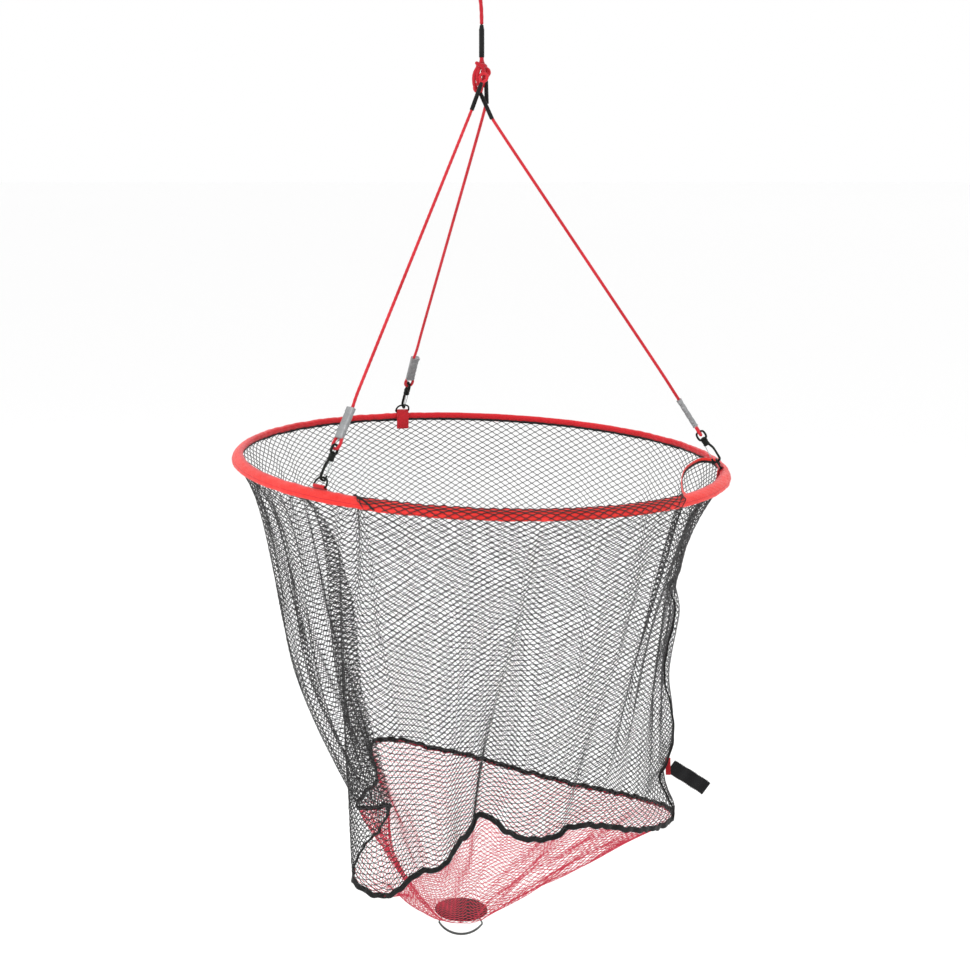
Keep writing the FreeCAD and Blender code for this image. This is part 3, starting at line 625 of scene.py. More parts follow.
piece(shrink_sleeve("rope_sleeve_shrunk", Matrix.Identity(4), -0.2362, -0.1876, 0.0145, 0.0082, 0.66),
      "rope_end", "heat_shrink", "rope_sleeve")
QUARTER_TURN = Matrix.Rotation(math.radians(90), 4, "Z")
hand_sleeve = piece(
    shrink_sleeve("hand_loop_sleeve_shrunk", QUARTER_TURN, -0.1400, -0.1038, 0.0146, 0.0083, 0.9),
    "rope", "heat_shrink", "hand_loop_sleeve")
for name, (upper, lower) in SLEEVE_ENDS.items():
    upper, lower = Vector(upper), Vector(lower)
    way = (upper - lower).normalized()
    side_way = way.cross(Vector((1, 0, 0))).normalized()
    axes = Matrix((side_way.cross(way), side_way, way)).transposed().to_4x4()
    place = Matrix.Translation(lower) @ axes
    piece(shrink_sleeve(f"{name}_leg_sleeve_shrunk", place, 0, (upper - lower).length,
                        0.0098, 0.0066, 0.8), "hoop", "heat_shrink", f"{name}_leg_sleeve")

print("sleeves:", [obj.name for obj in PIECES[-5:]])

# %% The rope's length
print("rope declared,", round(rope_length, 3), "m")

# %% [markdown]
# ## The rope's lower eye
# The rope's end is tied into an eye that the three legs hang from: two strands leave the sleeve,
# cross in a knot with a short tail, and open into a loop. The loop and the knot are one braided
# line that winds round itself. Its tail is a melted nub.

# %% Rope eye
eye_route = [(0, 0.0030, -0.222), (0, 0.0032, -0.238), (0.0020, 0.0045, -0.247),
             (0.0075, 0.0050, -0.254), (0.0085, 0.0040, -0.263), (0.0060, 0.0050, -0.272),
             (0.0010, 0.0060, -0.2805), (-0.0060, 0.0030, -0.2840), (-0.0112, -0.0010, -0.2790),
             (-0.0122, -0.0030, -0.2700), (-0.0115, -0.0040, -0.2610), (-0.0075, -0.0035, -0.2530),
             (-0.0010, -0.0032, -0.2450), (0, -0.0031, -0.238), (0, -0.0030, -0.222)]
eye, _ = braid("rope_eye_braid", spline_points("EyeRoute", eye_route), 0.0060, MATS["rope"],
               pitch_=0.012, hint=(1, 0, 0))
piece(eye, "rope_end", "rope_red", "rope_eye")
print("eye of", round(0.006 * 1000), "mm rope")

# %% Knot and bight
knot_route = [(0.0035, -0.0020, -0.2640), (0.0030, -0.0060, -0.2560), (0.0010, -0.0085, -0.2490),
              (-0.0045, -0.0060, -0.2475), (-0.0070, 0.0010, -0.2490), (-0.0030, 0.0080, -0.2515),
              (0.0035, 0.0085, -0.2520), (0.0068, 0.0010, -0.2500), (0.0040, -0.0070, -0.2480),
              (-0.0020, -0.0090, -0.2480), (-0.0065, -0.0070, -0.2455), (-0.0100, -0.0060, -0.2435)]
knot, _ = braid("rope_eye_knot", spline_points("KnotRoute", knot_route), 0.0060, MATS["rope"],
                pitch_=0.011, hint=(1, 0, 0))
piece(knot, "rope_end", "rope_red")
bight_route = [(-0.0020, -0.0040, -0.2500), (-0.0060, -0.0060, -0.2580), (-0.0070, -0.0055, -0.2680),
               (-0.0040, -0.0030, -0.2780), (0.0010, -0.0010, -0.2760), (0.0030, -0.0020, -0.2680),
               (0.0040, -0.0020, -0.2600), (0.0030, -0.0010, -0.2520)]
bight, _ = braid("rope_eye_bight", spline_points("BightRoute", bight_route), 0.0056, MATS["rope"],
                 pitch_=0.011, hint=(0, 1, 0))
piece(bight, "rope_end", "rope_red")
print(len(PIECES), "pieces so far")

# %% [markdown]
# ## Legs
# Each leg is one cord. It starts inside the pressed sleeve, goes round the swivel's eye, comes back
# through the sleeve, runs straight to the top and closes round the rope's eye under a shrunk
# sleeve. Drawing the whole route as one spline keeps both eyes true to how the cord is made.

# %% Leg cords
CORD_D = 0.005
LEG_EYE_R = 0.0062      # centreline of the upper eye, round the rope


def leg_route(matrix, name):
    """Control points of a leg's cord, in the row frame."""
    low = [(0, -0.0026, 0.129), (0, -0.0026, 0.101), (0, -0.0050, 0.092), (0, -0.0072, 0.083),
           (0, -0.0050, 0.0754), (0, 0.0000, 0.0742), (0, 0.0050, 0.0754), (0, 0.0072, 0.083),
           (0, 0.0050, 0.092), (0, 0.0026, 0.101), (0, 0.0026, 0.137), (0, 0, 0.159),
           (0, 0, 0.19)]
    points = [Vector(p) for p in place_points(matrix, low)]
    upper, lower = (Vector(p) for p in SLEEVE_ENDS[name])
    way = (upper - lower).normalized()
    start = points[-1]
    points += [start + (lower - start) * share for share in (0.5, 0.97)]
    points += [lower + way * 0.006, upper]
    side = Vector((0, 1, 0)).cross(way).normalized()
    eye_centre = upper + way * 0.0085
    for degrees in (-60, -10, 45, 90, 135, 190, 240):
        t = math.radians(degrees)
        points.append(eye_centre + (side * math.cos(t) + way * math.sin(t)) * LEG_EYE_R)
    points.append(upper - way * 0.004)
    return points


for name, (matrix, _) in FRAMES.items():
    path = spline_points("LegRoute", leg_route(matrix, name))
    cord, cord_length = braid(f"{name}_leg_cord_braid", path, CORD_D, MATS["cord"], pitch_=0.0095,
                              hint=(1, 0.2, 0))
    piece(cord, "hoop", "cord_red", f"{name}_leg_cord")
    print(f"{name} leg cord {cord_length:.3f} m")

# %% [markdown]
# ## Pressed sleeves
# An aluminium sleeve is flattened over the doubled cord in a press, which leaves rows of dents, a
# ragged flash along both narrow edges and a mouth that opens a little at each end. The section is
# a flattened oval with its width shaken by the tool's teeth.

# %% Pressed sleeves
CRIMP_START, CRIMP_LENGTH = 0.0908, 0.050


def pressed_sleeve(name, matrix, start, seed):
    """A flattened sleeve up the leg's frame. The seed shapes its dents and its ragged edge."""
    z = np.linspace(start, start + CRIMP_LENGTH, 130)
    share = (z - start) / CRIMP_LENGTH
    random = np.random.default_rng(seed)
    bites = 0.0011 * np.clip(np.sin(share * math.pi * 11 + seed), 0, 1) ** 3
    flash = np.interp(share, np.linspace(0, 1, 26), random.uniform(0, 0.0014, 26))
    burr = 0.0022 * np.exp(-((share - 0.88) / 0.035) ** 2)
    mouth = 0.0005 * (np.exp(-share / 0.04) + np.exp(-(1 - share) / 0.04))
    t = np.arange(48) * 2 * math.pi / 48
    x = np.sign(np.cos(t)) * np.abs(np.cos(t)) ** 0.38
    y = np.sign(np.sin(t)) * np.abs(np.sin(t)) ** 0.62
    deep = 0.0040 + mouth - 0.0004 * np.clip(np.sin(share * math.pi * 8), 0, 1)
    left_edge = np.where(y[None] < 0, (bites + flash + burr)[:, None], (0.4 * flash)[:, None])
    thin = np.exp(-(x[None] / 0.55) ** 2)
    section = np.stack([deep[:, None] * x, (0.0070 + left_edge * thin) * y], -1)
    line = place_points(matrix, np.stack([0 * z, 0 * z, z], 1))
    return sweep(name, line, section, MATS["crimp"], hint=np.array(matrix)[:3, 0])


for seed, (name, (matrix, _)) in enumerate(FRAMES.items()):
    piece(pressed_sleeve(f"{name}_crimp_sleeve_pressed", matrix, CRIMP_START, seed), "hoop",
          "crimp_metal", f"{name}_crimp_sleeve")
print("pressed sleeves", CRIMP_LENGTH * 1000, "mm long")

# %% [markdown]
# ## Swivel eyes and snap hooks
# The swivel is a small casting: a flat eye on a stem, riveted so that it turns in the hook's
# collar. The hook is a bent bar that thickens at its bow, and its gate is a thin sprung wire loop.
# The hard parts keep the CAD's sizes, and the sweep adds the casting's changing sections.

# %% Turned and bent bars
def lathe(name, matrix, profile, material_, sides=28):
    """Turn a profile of (radius, height) about the frame's Z."""
    profile = np.array(profile, float)
    z = profile[:, 1]
    line = place_points(matrix, np.stack([0 * z, 0 * z, z + 1e-7 * np.arange(len(z))], 1))
    t = np.arange(sides) * 2 * math.pi / sides
    section = np.stack([profile[:, :1] * np.cos(t), profile[:, :1] * np.sin(t)], -1)
    return sweep(name, line, section, material_, hint=np.array(matrix)[:3, 0])


def oval_tube(name, matrix, points, wide, deep, material_, closed=False, step=0.0006):
    """A bar along a smooth route in the frame, with sizes at each route point."""
    data = np.column_stack([points, wide, deep])
    smooth = smooth_line(data, step, closed)
    t = np.arange(16) * 2 * math.pi / 16
    section = np.stack([smooth[:, 3:4] / 2 * np.cos(t), smooth[:, 4:5] / 2 * np.sin(t)], -1)
    line = place_points(matrix, smooth[:, :3])
    return sweep(name, line, section, material_, closed, hint=np.array(matrix)[:3, 1])


def join(name, *objects):
    """Several meshes as one object."""
    bpy.ops.object.select_all(action="DESELECT")
    for obj in objects:
        obj.select_set(True)
    bpy.context.view_layer.objects.active = objects[0]
    if len(objects) > 1:
        bpy.ops.object.join()
    objects[0].name = name
    return objects[0]


print("a wire of 1.3 mm has 16 sides")

# %% Swivels, hooks and gates
for name, (matrix, _) in FRAMES.items():
    frame_route = [(0.0052, 0, 0.0668), (0.0066, 0, 0.0700), (0.0068, 0, 0.0750),
                   (0.0056, 0, 0.0792), (0.0, 0, 0.0806), (-0.0056, 0, 0.0792),
                   (-0.0068, 0, 0.0750), (-0.0066, 0, 0.0700), (-0.0052, 0, 0.0668),
                   (0, 0, 0.0660)]
    loop = oval_tube("eye", matrix, frame_route, [0.0048] * 10,
                     [0.0036, 0.0036, 0.0033, 0.0033, 0.0034, 0.0033, 0.0033, 0.0036, 0.0036, 0.0040],
                     MATS["black_metal"], closed=True)
    stem = lathe("stem", matrix, [(0.0, 0.0606), (0.0015, 0.0606), (0.0015, 0.0656),
                                  (0.0040, 0.0658), (0.0046, 0.0666), (0.0044, 0.0682),
                                  (0.0026, 0.0694), (0.0, 0.0698)], MATS["black_metal"])
    piece(join(f"{name}_swivel_eye_cast", loop, stem), "hoop", "hardware_black",
          f"{name}_swivel_eye")
    # the hook: root in the collar, spine, bow and nose, all in the frame's X-Z plane
    hook_route = [(0.0020, 0, 0.0585), (0.0040, 0, 0.0530), (0.0060, 0, 0.0470),
                  (0.0061, 0, 0.0400), (0.0060, 0, 0.0320), (0.0058, 0, 0.0266),
                  (0.0030, 0, 0.0243), (0.0, 0, 0.0240), (-0.0030, 0, 0.0243),
                  (-0.0058, 0, 0.0268), (-0.0058, 0, 0.0328)]
    bar = oval_tube("hook", matrix, hook_route,
                    [0.0044, 0.0046, 0.0046, 0.0046, 0.0046, 0.0046, 0.0044, 0.0042, 0.0042,
                     0.0040, 0.0032],
                    [0.0036, 0.0040, 0.0036, 0.0034, 0.0036, 0.0040, 0.0040, 0.0036, 0.0036,
                     0.0034, 0.0028], MATS["black_metal"])
    collar = lathe("collar", matrix, [(0.0, 0.0552), (0.0044, 0.0552), (0.0052, 0.0560),
                                      (0.0054, 0.0572), (0.0049, 0.0590), (0.0048, 0.0612),
                                      (0.0054, 0.0636), (0.0053, 0.0646), (0.0046, 0.0653),
                                      (0.0016, 0.0654)], MATS["black_metal"])
    piece(join(f"{name}_snap_hook_cast", bar, collar), f"{name}_snap", "hardware_black",
          f"{name}_snap_hook")
    # the gate: a wire bent double, whose two ends turn in the collar
    wire = [(-0.0037, 0.0019, 0.0578), (-0.0040, 0.0018, 0.0540), (-0.0046, 0.0016, 0.0460),
            (-0.0052, 0.0012, 0.0375), (-0.0053, 0.0, 0.0345), (-0.0052, -0.0012, 0.0375),
            (-0.0046, -0.0016, 0.0460), (-0.0040, -0.0018, 0.0540), (-0.0037, -0.0019, 0.0578)]
    gate = oval_tube(f"{name}_snap_gate_wire", matrix, wire, [0.0013] * 9, [0.0013] * 9,
                     MATS["gate"], step=0.0005)
    piece(gate, f"{name}_gate", "gate_wire", f"{name}_snap_gate")
print(len(PIECES), "pieces so far")

# %% [markdown]
# ## D-rings and their webbing
# A D-ring is a bent bar with a straight side in a fold of webbing. The webbing is folded over that
# side, and its two layers are sewn to the sleeve's inner side with a box of stitches.

# %% Tape and stitches
def tape(name, line, width, thick, material_, hint, closed=False, corner=0.0005):
    """A flat tape along a line; hint is the direction of its width."""
    return sweep(name, line, slab(width, thick, min(corner, thick * 0.45)), material_, closed, hint)


def stitches(name, points, normal, material_, length=0.0026, gap=0.0014, radius=0.00035):
    """A row of raised stitches along a line, each a small rounded bar."""
    line, total = evenly(np.asarray(points, float), 0.0005)
    parts = []
    along = np.linspace(0, total, len(line))
    at = 0.0
    while at + length < total:
        picked = (along >= at) & (along <= at + length)
        if picked.sum() > 2:
            lift = np.sin(np.linspace(0, math.pi, picked.sum()))[:, None]
            arch = line[picked] + np.asarray(normal) * (lift * radius * 1.2)
            parts.append(sweep("stitch", arch, ring(radius, 6), material_, hint=normal))
        at += length + gap
    return join(name, *parts)


print("one stitch and its gap take", 0.0026 + 0.0014, "m")

# %% D-rings and ring tabs
TO_SIDE = math.degrees(0.0072 / HOOP_R)     # from the middle of a tab to its side seam
for name, (matrix, _) in FRAMES.items():
    d_route = [(0, 0.0050, 0.0133), (0, 0.0108, 0.0131), (0, 0.0120, 0.0150), (0, 0.0118, 0.0185),
               (0, 0.0103, 0.0240), (0, 0.0055, 0.0277), (0, 0, 0.0284), (0, -0.0055, 0.0277),
               (0, -0.0103, 0.0240), (0, -0.0118, 0.0185), (0, -0.0120, 0.0150),
               (0, -0.0108, 0.0131), (0, -0.0050, 0.0133)]
    d_ring = oval_tube(f"{name}_d_ring_bar", matrix, d_route, [0.0030] * 13, [0.0029] * 13,
                       MATS["black_metal"], closed=True)
    piece(d_ring, f"{name}_ring", "hardware_black", f"{name}_d_ring")
    # webbing: two layers sewn to the sleeve's inner side, folded over the ring's bar
    fold = [(-0.0120, -0.0225), (-0.0114, -0.0080), (-0.0109, 0.0000), (-0.0098, 0.0048),
            (-0.0072, 0.0082), (-0.0046, 0.0103), (-0.0040, 0.0126), (-0.0060, 0.0143),
            (-0.0090, 0.0134), (-0.0110, 0.0098), (-0.0124, 0.0045), (-0.0129, -0.0010),
            (-0.0134, -0.0100), (-0.0137, -0.0228)]
    azimuth = LEGS[name][0]
    tail = 0.45 if name == "left" else 0.85
    fold = [(out, up * tail if up < -0.005 else up) for out, up in fold]
    flat_line = smooth_line(np.array(fold), 0.0012)
    line = hoop_point(HOOP_R + flat_line[:, 0], azimuth, flat_line[:, 1])
    across = matrix.to_3x3() @ Vector((0, 1, 0))
    band = tape("band", line, 0.0215, 0.0013, MATS["webbing"], across)
    seams = []
    inward = HOOP.to_3x3() @ Vector((-math.cos(math.radians(azimuth)),
                                     -math.sin(math.radians(azimuth)), 0))
    foot, head = -0.0205 * tail, -0.0110 * tail
    corners = [(-0.0143, azimuth - TO_SIDE, foot), (-0.0140, azimuth - TO_SIDE, head),
               (-0.0140, azimuth + TO_SIDE, head), (-0.0143, azimuth + TO_SIDE, foot),
               (-0.0143, azimuth - TO_SIDE, foot)]
    spots = [hoop_point(HOOP_R + inset, az, z) for inset, az, z in corners]
    for one, two in zip(spots, spots[1:]):
        seams.append(stitches("row", [one, two], inward, MATS["webbing"]))
    piece(join(f"{name}_ring_tab_webbing", band, *seams), "hoop", "webbing_red",
          f"{name}_ring_tab")
print(len(PIECES), "pieces so far")

# %% [markdown]
# ## The hoop's sleeve
# A long tube of coated red fabric covers the sprung wire. It is looser than the wire, so it ruckles:
# long soft creases run a little diagonally, the edges of the seam show as a ridge on the inside,
# and the tube is pulled flat where a webbing fold grips it. The section's radius carries all this.

# %% Sleeve's section
SLEEVE_LEAN = 142.0
SLEEVE_LONG, SLEEVE_THIN = 0.0106, 0.0054      # half of the flattened tube's width and thickness


def sleeve_radius(azimuth, theta):
    """The sleeve's radius: creases, a seam's ridge and the grip of the webbing."""
    a, t = np.radians(azimuth), np.radians(theta)
    ruck = (0.00040 * np.sin(31 * a + 2.0 * t + 1.3 * np.sin(5 * a))
            + 0.00030 * np.sin(77 * a - 1.5 * t + 2 * np.sin(9 * a))
            + 0.00022 * np.sin(143 * a + 3 * t + 1.7 * np.sin(13 * a)))
    calm = 0.35 + 0.65 * np.clip(np.sin(3.1 * a + 0.6) + 0.5, 0, 1)
    ridge = 0.0011 * np.exp(-(((theta - 205 + 180) % 360 - 180) / 9) ** 2)
    grip = 0.0
    for leg_azimuth, _ in LEGS.values():
        away = (azimuth - leg_azimuth + 180) % 360 - 180
        grip = grip + np.exp(-(away / 1.6) ** 4)
    lean = np.radians(theta - SLEEVE_LEAN)
    flat = (SLEEVE_LONG * SLEEVE_THIN
            / np.hypot(SLEEVE_THIN * np.cos(lean), SLEEVE_LONG * np.sin(lean)))
    return flat + ruck * calm * (1 - np.clip(grip, 0, 1)) + ridge * 0.6


print("sleeve radius at its flat side", sleeve_radius(np.array([0.0]), 52.0).round(4))

# %% Hoop sleeve
azimuths = np.linspace(0, 360, 1441)[:-1]
thetas = np.arange(30) * 12.0
grid_a, grid_t = np.meshgrid(azimuths, thetas, indexing="ij")
tube_r = sleeve_radius(grid_a, grid_t)
tube = hoop_point(HOOP_R + tube_r * np.cos(np.radians(grid_t)), grid_a,
                  tube_r * np.sin(np.radians(grid_t)))
n, m = grid_a.shape
i, j = np.meshgrid(np.arange(n), np.arange(m), indexing="ij")
quads = np.stack([i * m + j, i * m + (j + 1) % m, (i + 1) % n * m + (j + 1) % m,
                  (i + 1) % n * m + j], -1).reshape(-1, 4)[:, ::-1]
uv = np.stack([np.radians(grid_a) * HOOP_R, np.radians(grid_t) * SLEEVE_UV_R], -1).reshape(-1, 2)
sleeve = mesh_object("hoop_sleeve_fabric", tube.reshape(-1, 3), quads, MATS["sleeve"], uv)
piece(sleeve, "hoop", "sleeve_fabric", "hoop_sleeve")
print("sleeve faces", len(quads))

# %% [markdown]
# ## The hanging end of the hem
# Where the sleeve is closed, a length of its hem hangs inside the hoop in an open loop. It is a
# narrow red strip with a black bound edge, so two thin tapes run side by side.

# %% Hem loop
hem = [(0.378, 2.0, 0.010), (0.358, 4.8, 0.009), (0.338, 0.0, 0.0062), (0.3243, -6.2, 0.0029),
       (0.323, -13.4, -0.0035), (0.334, -22.0, -0.0074), (0.351, -29.0, -0.0070),
       (0.376, -33.0, -0.0060)]
HEM_FACE = (0, -0.35, 0.94)
hem_line = smooth_line(np.array([hoop_point(r, az, z) for r, az, z in hem]), 0.002)
band = tape("hem_red", hem_line + np.array([0, 0, 0.0008]), 0.0052, 0.0012, MATS["sleeve"], HEM_FACE)
edge = tape("hem_edge", hem_line - np.array([0, 0, 0.0030]), 0.0036, 0.0024, MATS["binding"],
            HEM_FACE)
piece(join("hem_band_strip", band, edge), "hoop", "sleeve_fabric", "hem_band")
print("hem loop", round(evenly(hem_line, 0.002)[1], 3), "m")

# %% [markdown]
# ## The shape of the bag
# The bag is a tube of net, cut as long as the hoop is round, and sewn to a round base. It is limp,
# so it hangs in folds. Its shape is a surface with two numbers: the azimuth at the hoop, and the
# share of the way down. The lower edge is the bottom seam, a loop of slack binding whose place is
# listed here. Between hoop and seam the surface gets a bulge on the left, a waist on the
# right and a set of pleats that take up the slack.

# %% Seam, side seam and pleats
SEAM = np.array([
    (-2, .346, 0, -.588), (12, .327, .09, -.61), (32, .269, .18, -.631), (50, .198, .23, -.638),
    (66, .129, .25, -.63), (84, .051, .25, -.61), (100, -.008, .245, -.592),
    (116, -.073, .235, -.579), (131, -.123, .22, -.559), (146, -.18, .19, -.552),
    (158, -.163, .14, -.584), (166, -.155, .11, -.595), (175, -.176, .09, -.61),
    (186, -.194, .055, -.622), (200, -.173, .045, -.624), (214, -.14, .05, -.618),
    (225, -.13, .02, -.616), (229, -.141, -.01, -.625), (233, -.151, -.05, -.63),
    (236, -.171, -.065, -.644), (238, -.178, -.08, -.661), (241, -.187, -.1, -.68),
    (244, -.175, -.13, -.687), (248, -.14, -.16, -.689), (251, -.114, -.175, -.678),
    (254, -.092, -.18, -.651), (257, -.072, -.185, -.631), (261, -.042, -.19, -.626),
    (265, -.024, -.195, -.601), (269, -.014, -.205, -.571), (273, .006, -.215, -.548),
    (277, .012, -.22, -.517), (281, .034, -.225, -.518), (286, .061, -.23, -.543),
    (293, .096, -.235, -.552), (302, .135, -.225, -.55), (310, .162, -.215, -.532),
    (320, .207, -.195, -.538), (332, .265, -.16, -.56), (343, .303, -.11, -.575),
    (351, .334, -.045, -.585)])
SIDE = np.array([
    (0, .386, -.054, 0), (.098, .338, -.050, -.0585), (.158, .327, -.048, -.095),
    (.2, .323, -.046, -.117), (.28, .3235, -.044, -.166), (.31, .305, -.042, -.185),
    (.375, .323, -.040, -.224), (.45, .316, -.036, -.268), (.53, .309, -.033, -.316),
    (.60, .311, -.030, -.353), (.67, .327, -.027, -.397), (.76, .334, -.025, -.448),
    (.81, .329, -.024, -.476), (.845, .3235, -.0228, -.5), (.875, .311, -.024, -.516),
    (.93, .325, -.030, -.547), (.97, .342, -.036, -.571), (1.0, .337, -.041, -.588)])
SEAM_AZIMUTH = -8.0
PLEATS = [  # azimuth at the hoop and at the seam, depth, width in degrees
    (226, 215, 0.050, 2.2), (236, 230, 0.010, 1.8), (247, 244, 0.005, 2.4), (262, 258, 0.005, 2.2),
    (271, 266, 0.007, 2.0), (283, 277, 0.015, 1.5), (297, 292, 0.005, 2.6), (314, 309, 0.007, 2.8),
    (333, 326, 0.008, 2.4), (20, 16, 0.006, 3.5), (50, 52, 0.008, 4.0), (78, 72, 0.006, 3.5),
    (103, 98, 0.007, 3.0), (130, 133, 0.008, 3.2), (152, 152, 0.005, 3.0), (174, 168, 0.004, 3.0),
    (205, 200, 0.010, 1.8)]
BULGE = smooth_line(np.array([(0, 0), (.06, -.011), (.15, -.012), (.26, -.004), (.4, .010),
                              (.52, .022), (.64, .026), (.77, .020), (.9, .010), (1, 0)]), 0.01)
SIDE_FINE = smooth_line(SIDE, 0.002)
print(len(SEAM), "seam points,", len(PLEATS), "pleats")


# %% Reading the typed points
def wrap_interp(azimuth, table):
    """Smoothly read the typed points at an azimuth."""
    loop = np.vstack([table[-3:] - [360, 0, 0, 0], table, table[:3] + [360, 0, 0, 0]])
    fine = smooth_line(loop, 0.4)
    a = (azimuth - table[0, 0]) % 360 + table[0, 0]
    return np.stack([np.interp(a, fine[:, 0], fine[:, k]) for k in (1, 2, 3)], -1)


def read_line(v, at, line):
    """Points read off a line at shares v of the way down."""
    return np.stack([np.interp(v, at, line[:, k]) for k in range(3)], -1)


def step01(x, lo, hi):
    """0 before lo, 1 after hi, and a soft step between them."""
    t = np.clip((x - lo) / (hi - lo), 0, 1)
    return t * t * (3 - 2 * t)


def apart(a, b):
    """Degrees from b to a, from -180 to 180."""
    return (a - b + 180) % 360 - 180


def front_share(azimuth):
    """1 where the net comes over the outside of the sleeve, 0 where it starts under it."""
    a = azimuth % 360
    return step01(a, 238, 246) * (1 - step01(a, 317, 324))


print("front share at the left ring tab", front_share(np.array([232.0])))


# %% The bag's surface
WRAP_OUT_R = 0.0110     # how far from the hoop's wire the net leaves the sleeve


def hanging(azimuth, v):
    """The side net under the sleeve, before its side seam is pulled into line."""
    theta = np.radians(-15 * front_share(azimuth) + 262 * (1 - front_share(azimuth)))
    a = np.radians(azimuth)
    r = HOOP_R + WRAP_OUT_R * np.cos(theta)
    top = np.stack([r * np.cos(a), r * np.sin(a), WRAP_OUT_R * np.sin(theta)], -1)
    low = wrap_interp(azimuth, SEAM)
    out = np.stack([np.cos(a), np.sin(a), 0 * a], -1)
    p = (1 - v[..., None]) * top + v[..., None] * low
    left = np.exp(-(apart(azimuth, 205) / 60) ** 2)[..., None]
    swell = np.interp(v, BULGE[:, 0], BULGE[:, 1])[..., None]
    p = p + out * left * swell
    hang = np.sin(np.pi * v ** 0.75)[..., None]
    p = p - out * 0.058 * hang * np.exp(-(apart(azimuth, -8) / 26) ** 2)[..., None]
    push = 0.0
    for at_top, at_foot, deep, wide in PLEATS:
        centre = at_top + (at_foot - at_top) * v + 1.2 * np.sin(5 * v + at_top)
        grow = np.sin(np.pi * np.clip(v, 0, 1) ** 0.7) ** 0.6 + 0.25 * v
        push = push - deep * grow * np.exp(-(apart(azimuth, centre) / wide) ** 2)
        push = push + 0.35 * deep * grow * np.exp(-(apart(azimuth, centre - 2 * wide) / wide) ** 2)
    soft = (0.0040 * np.sin(17 * a + 4 * v) + 0.0022 * np.sin(31 * a - 7 * v)
            + 0.0010 * np.sin(53 * a + 11 * v)) * np.sin(np.pi * v ** 0.8)
    return p + out * (push + soft)[..., None]


SIDE_V = np.linspace(0, 1, 129)
SIDE_HERE = hanging(np.full(129, SEAM_AZIMUTH), SIDE_V)


def bag(azimuth, v):
    """The side net's surface under the sleeve, in the hoop's frame. v is 0 at the sleeve."""
    route = read_line(v, SIDE_FINE[:, 0], SIDE_FINE[:, 1:])
    here = read_line(v, SIDE_V, SIDE_HERE)
    near = np.exp(-(apart(azimuth, SEAM_AZIMUTH) / 9) ** 2)[..., None]
    return hanging(azimuth, v) + near * (route - here)


seam_a = np.linspace(0, 360, 721)[:-1] + SEAM_AZIMUTH
seam_line = bag(seam_a, np.ones_like(seam_a))
seam_length = np.linalg.norm(seam_line - np.roll(seam_line, 1, 0), axis=1).sum()
print(f"bottom seam {seam_length:.2f} m round")

# %% [markdown]
# ## Real twine
# The net is warp-knitted: every strand runs level in a zigzag, and lies beside its neighbour for
# a short bar at each turn. That makes cells with six sides, 18 mm wide and 10 mm tall. Each row of
# turns is a level line round the bag. The columns hang straight down from the hoop, and between
# anchors 20 degrees apart each row is measured off in equal lengths, so that cells keep their size
# and the folds hide the surplus. All strands are made in one pass with arrays.

# %% Twine maker
def twine(name, points, normals, radius, material_, keep=None, closed=True):
    """Three-sided tubes along many strands at once: points and normals are (strands, n, 3)."""
    after = np.roll(points, -1, 1)
    before = np.roll(points, 1, 1)
    tangents = after - before
    tangents /= np.linalg.norm(tangents, axis=2)[..., None] + 1e-12
    sides_ = np.cross(tangents, normals)
    sides_ /= np.linalg.norm(sides_, axis=2)[..., None] + 1e-12
    ups = np.cross(sides_, tangents)
    corners = []
    for t in (90, 210, 330):
        c, s = math.cos(math.radians(t)), math.sin(math.radians(t))
        corners.append(points + radius * (c * sides_ + s * ups))
    verts = np.stack(corners, 2)
    strands, count = points.shape[:2]
    index = np.arange(strands * count * 3).reshape(strands, count, 3)
    nxt = np.roll(index, -1, 1)
    faces = []
    for c in range(3):
        d = (c + 1) % 3
        faces.append(np.stack([index[..., c], index[..., d], nxt[..., d], nxt[..., c]], -1))
    faces = np.stack(faces, 2)
    if not closed:
        faces = faces[:, :-1]
        keep = keep[:, :-1] & keep[:, 1:] if keep is not None else None
    if keep is not None:
        faces = faces[keep]
    faces = faces.reshape(-1, 4)
    along = np.cumsum(np.linalg.norm(after - points, axis=2), axis=1)
    uv_ = np.stack([np.repeat(along[..., None], 3, 2),
                    np.broadcast_to(np.arange(3) * radius * 2.1, verts.shape[:3])], -1)
    used, inverse = np.unique(faces.ravel(), return_inverse=True)
    return mesh_object(name, place_points(HOOP, verts.reshape(-1, 3)[used]),
                       inverse.reshape(-1, 4), material_, uv_.reshape(-1, 2)[used])


print("a strand of the side net has 3 sides")

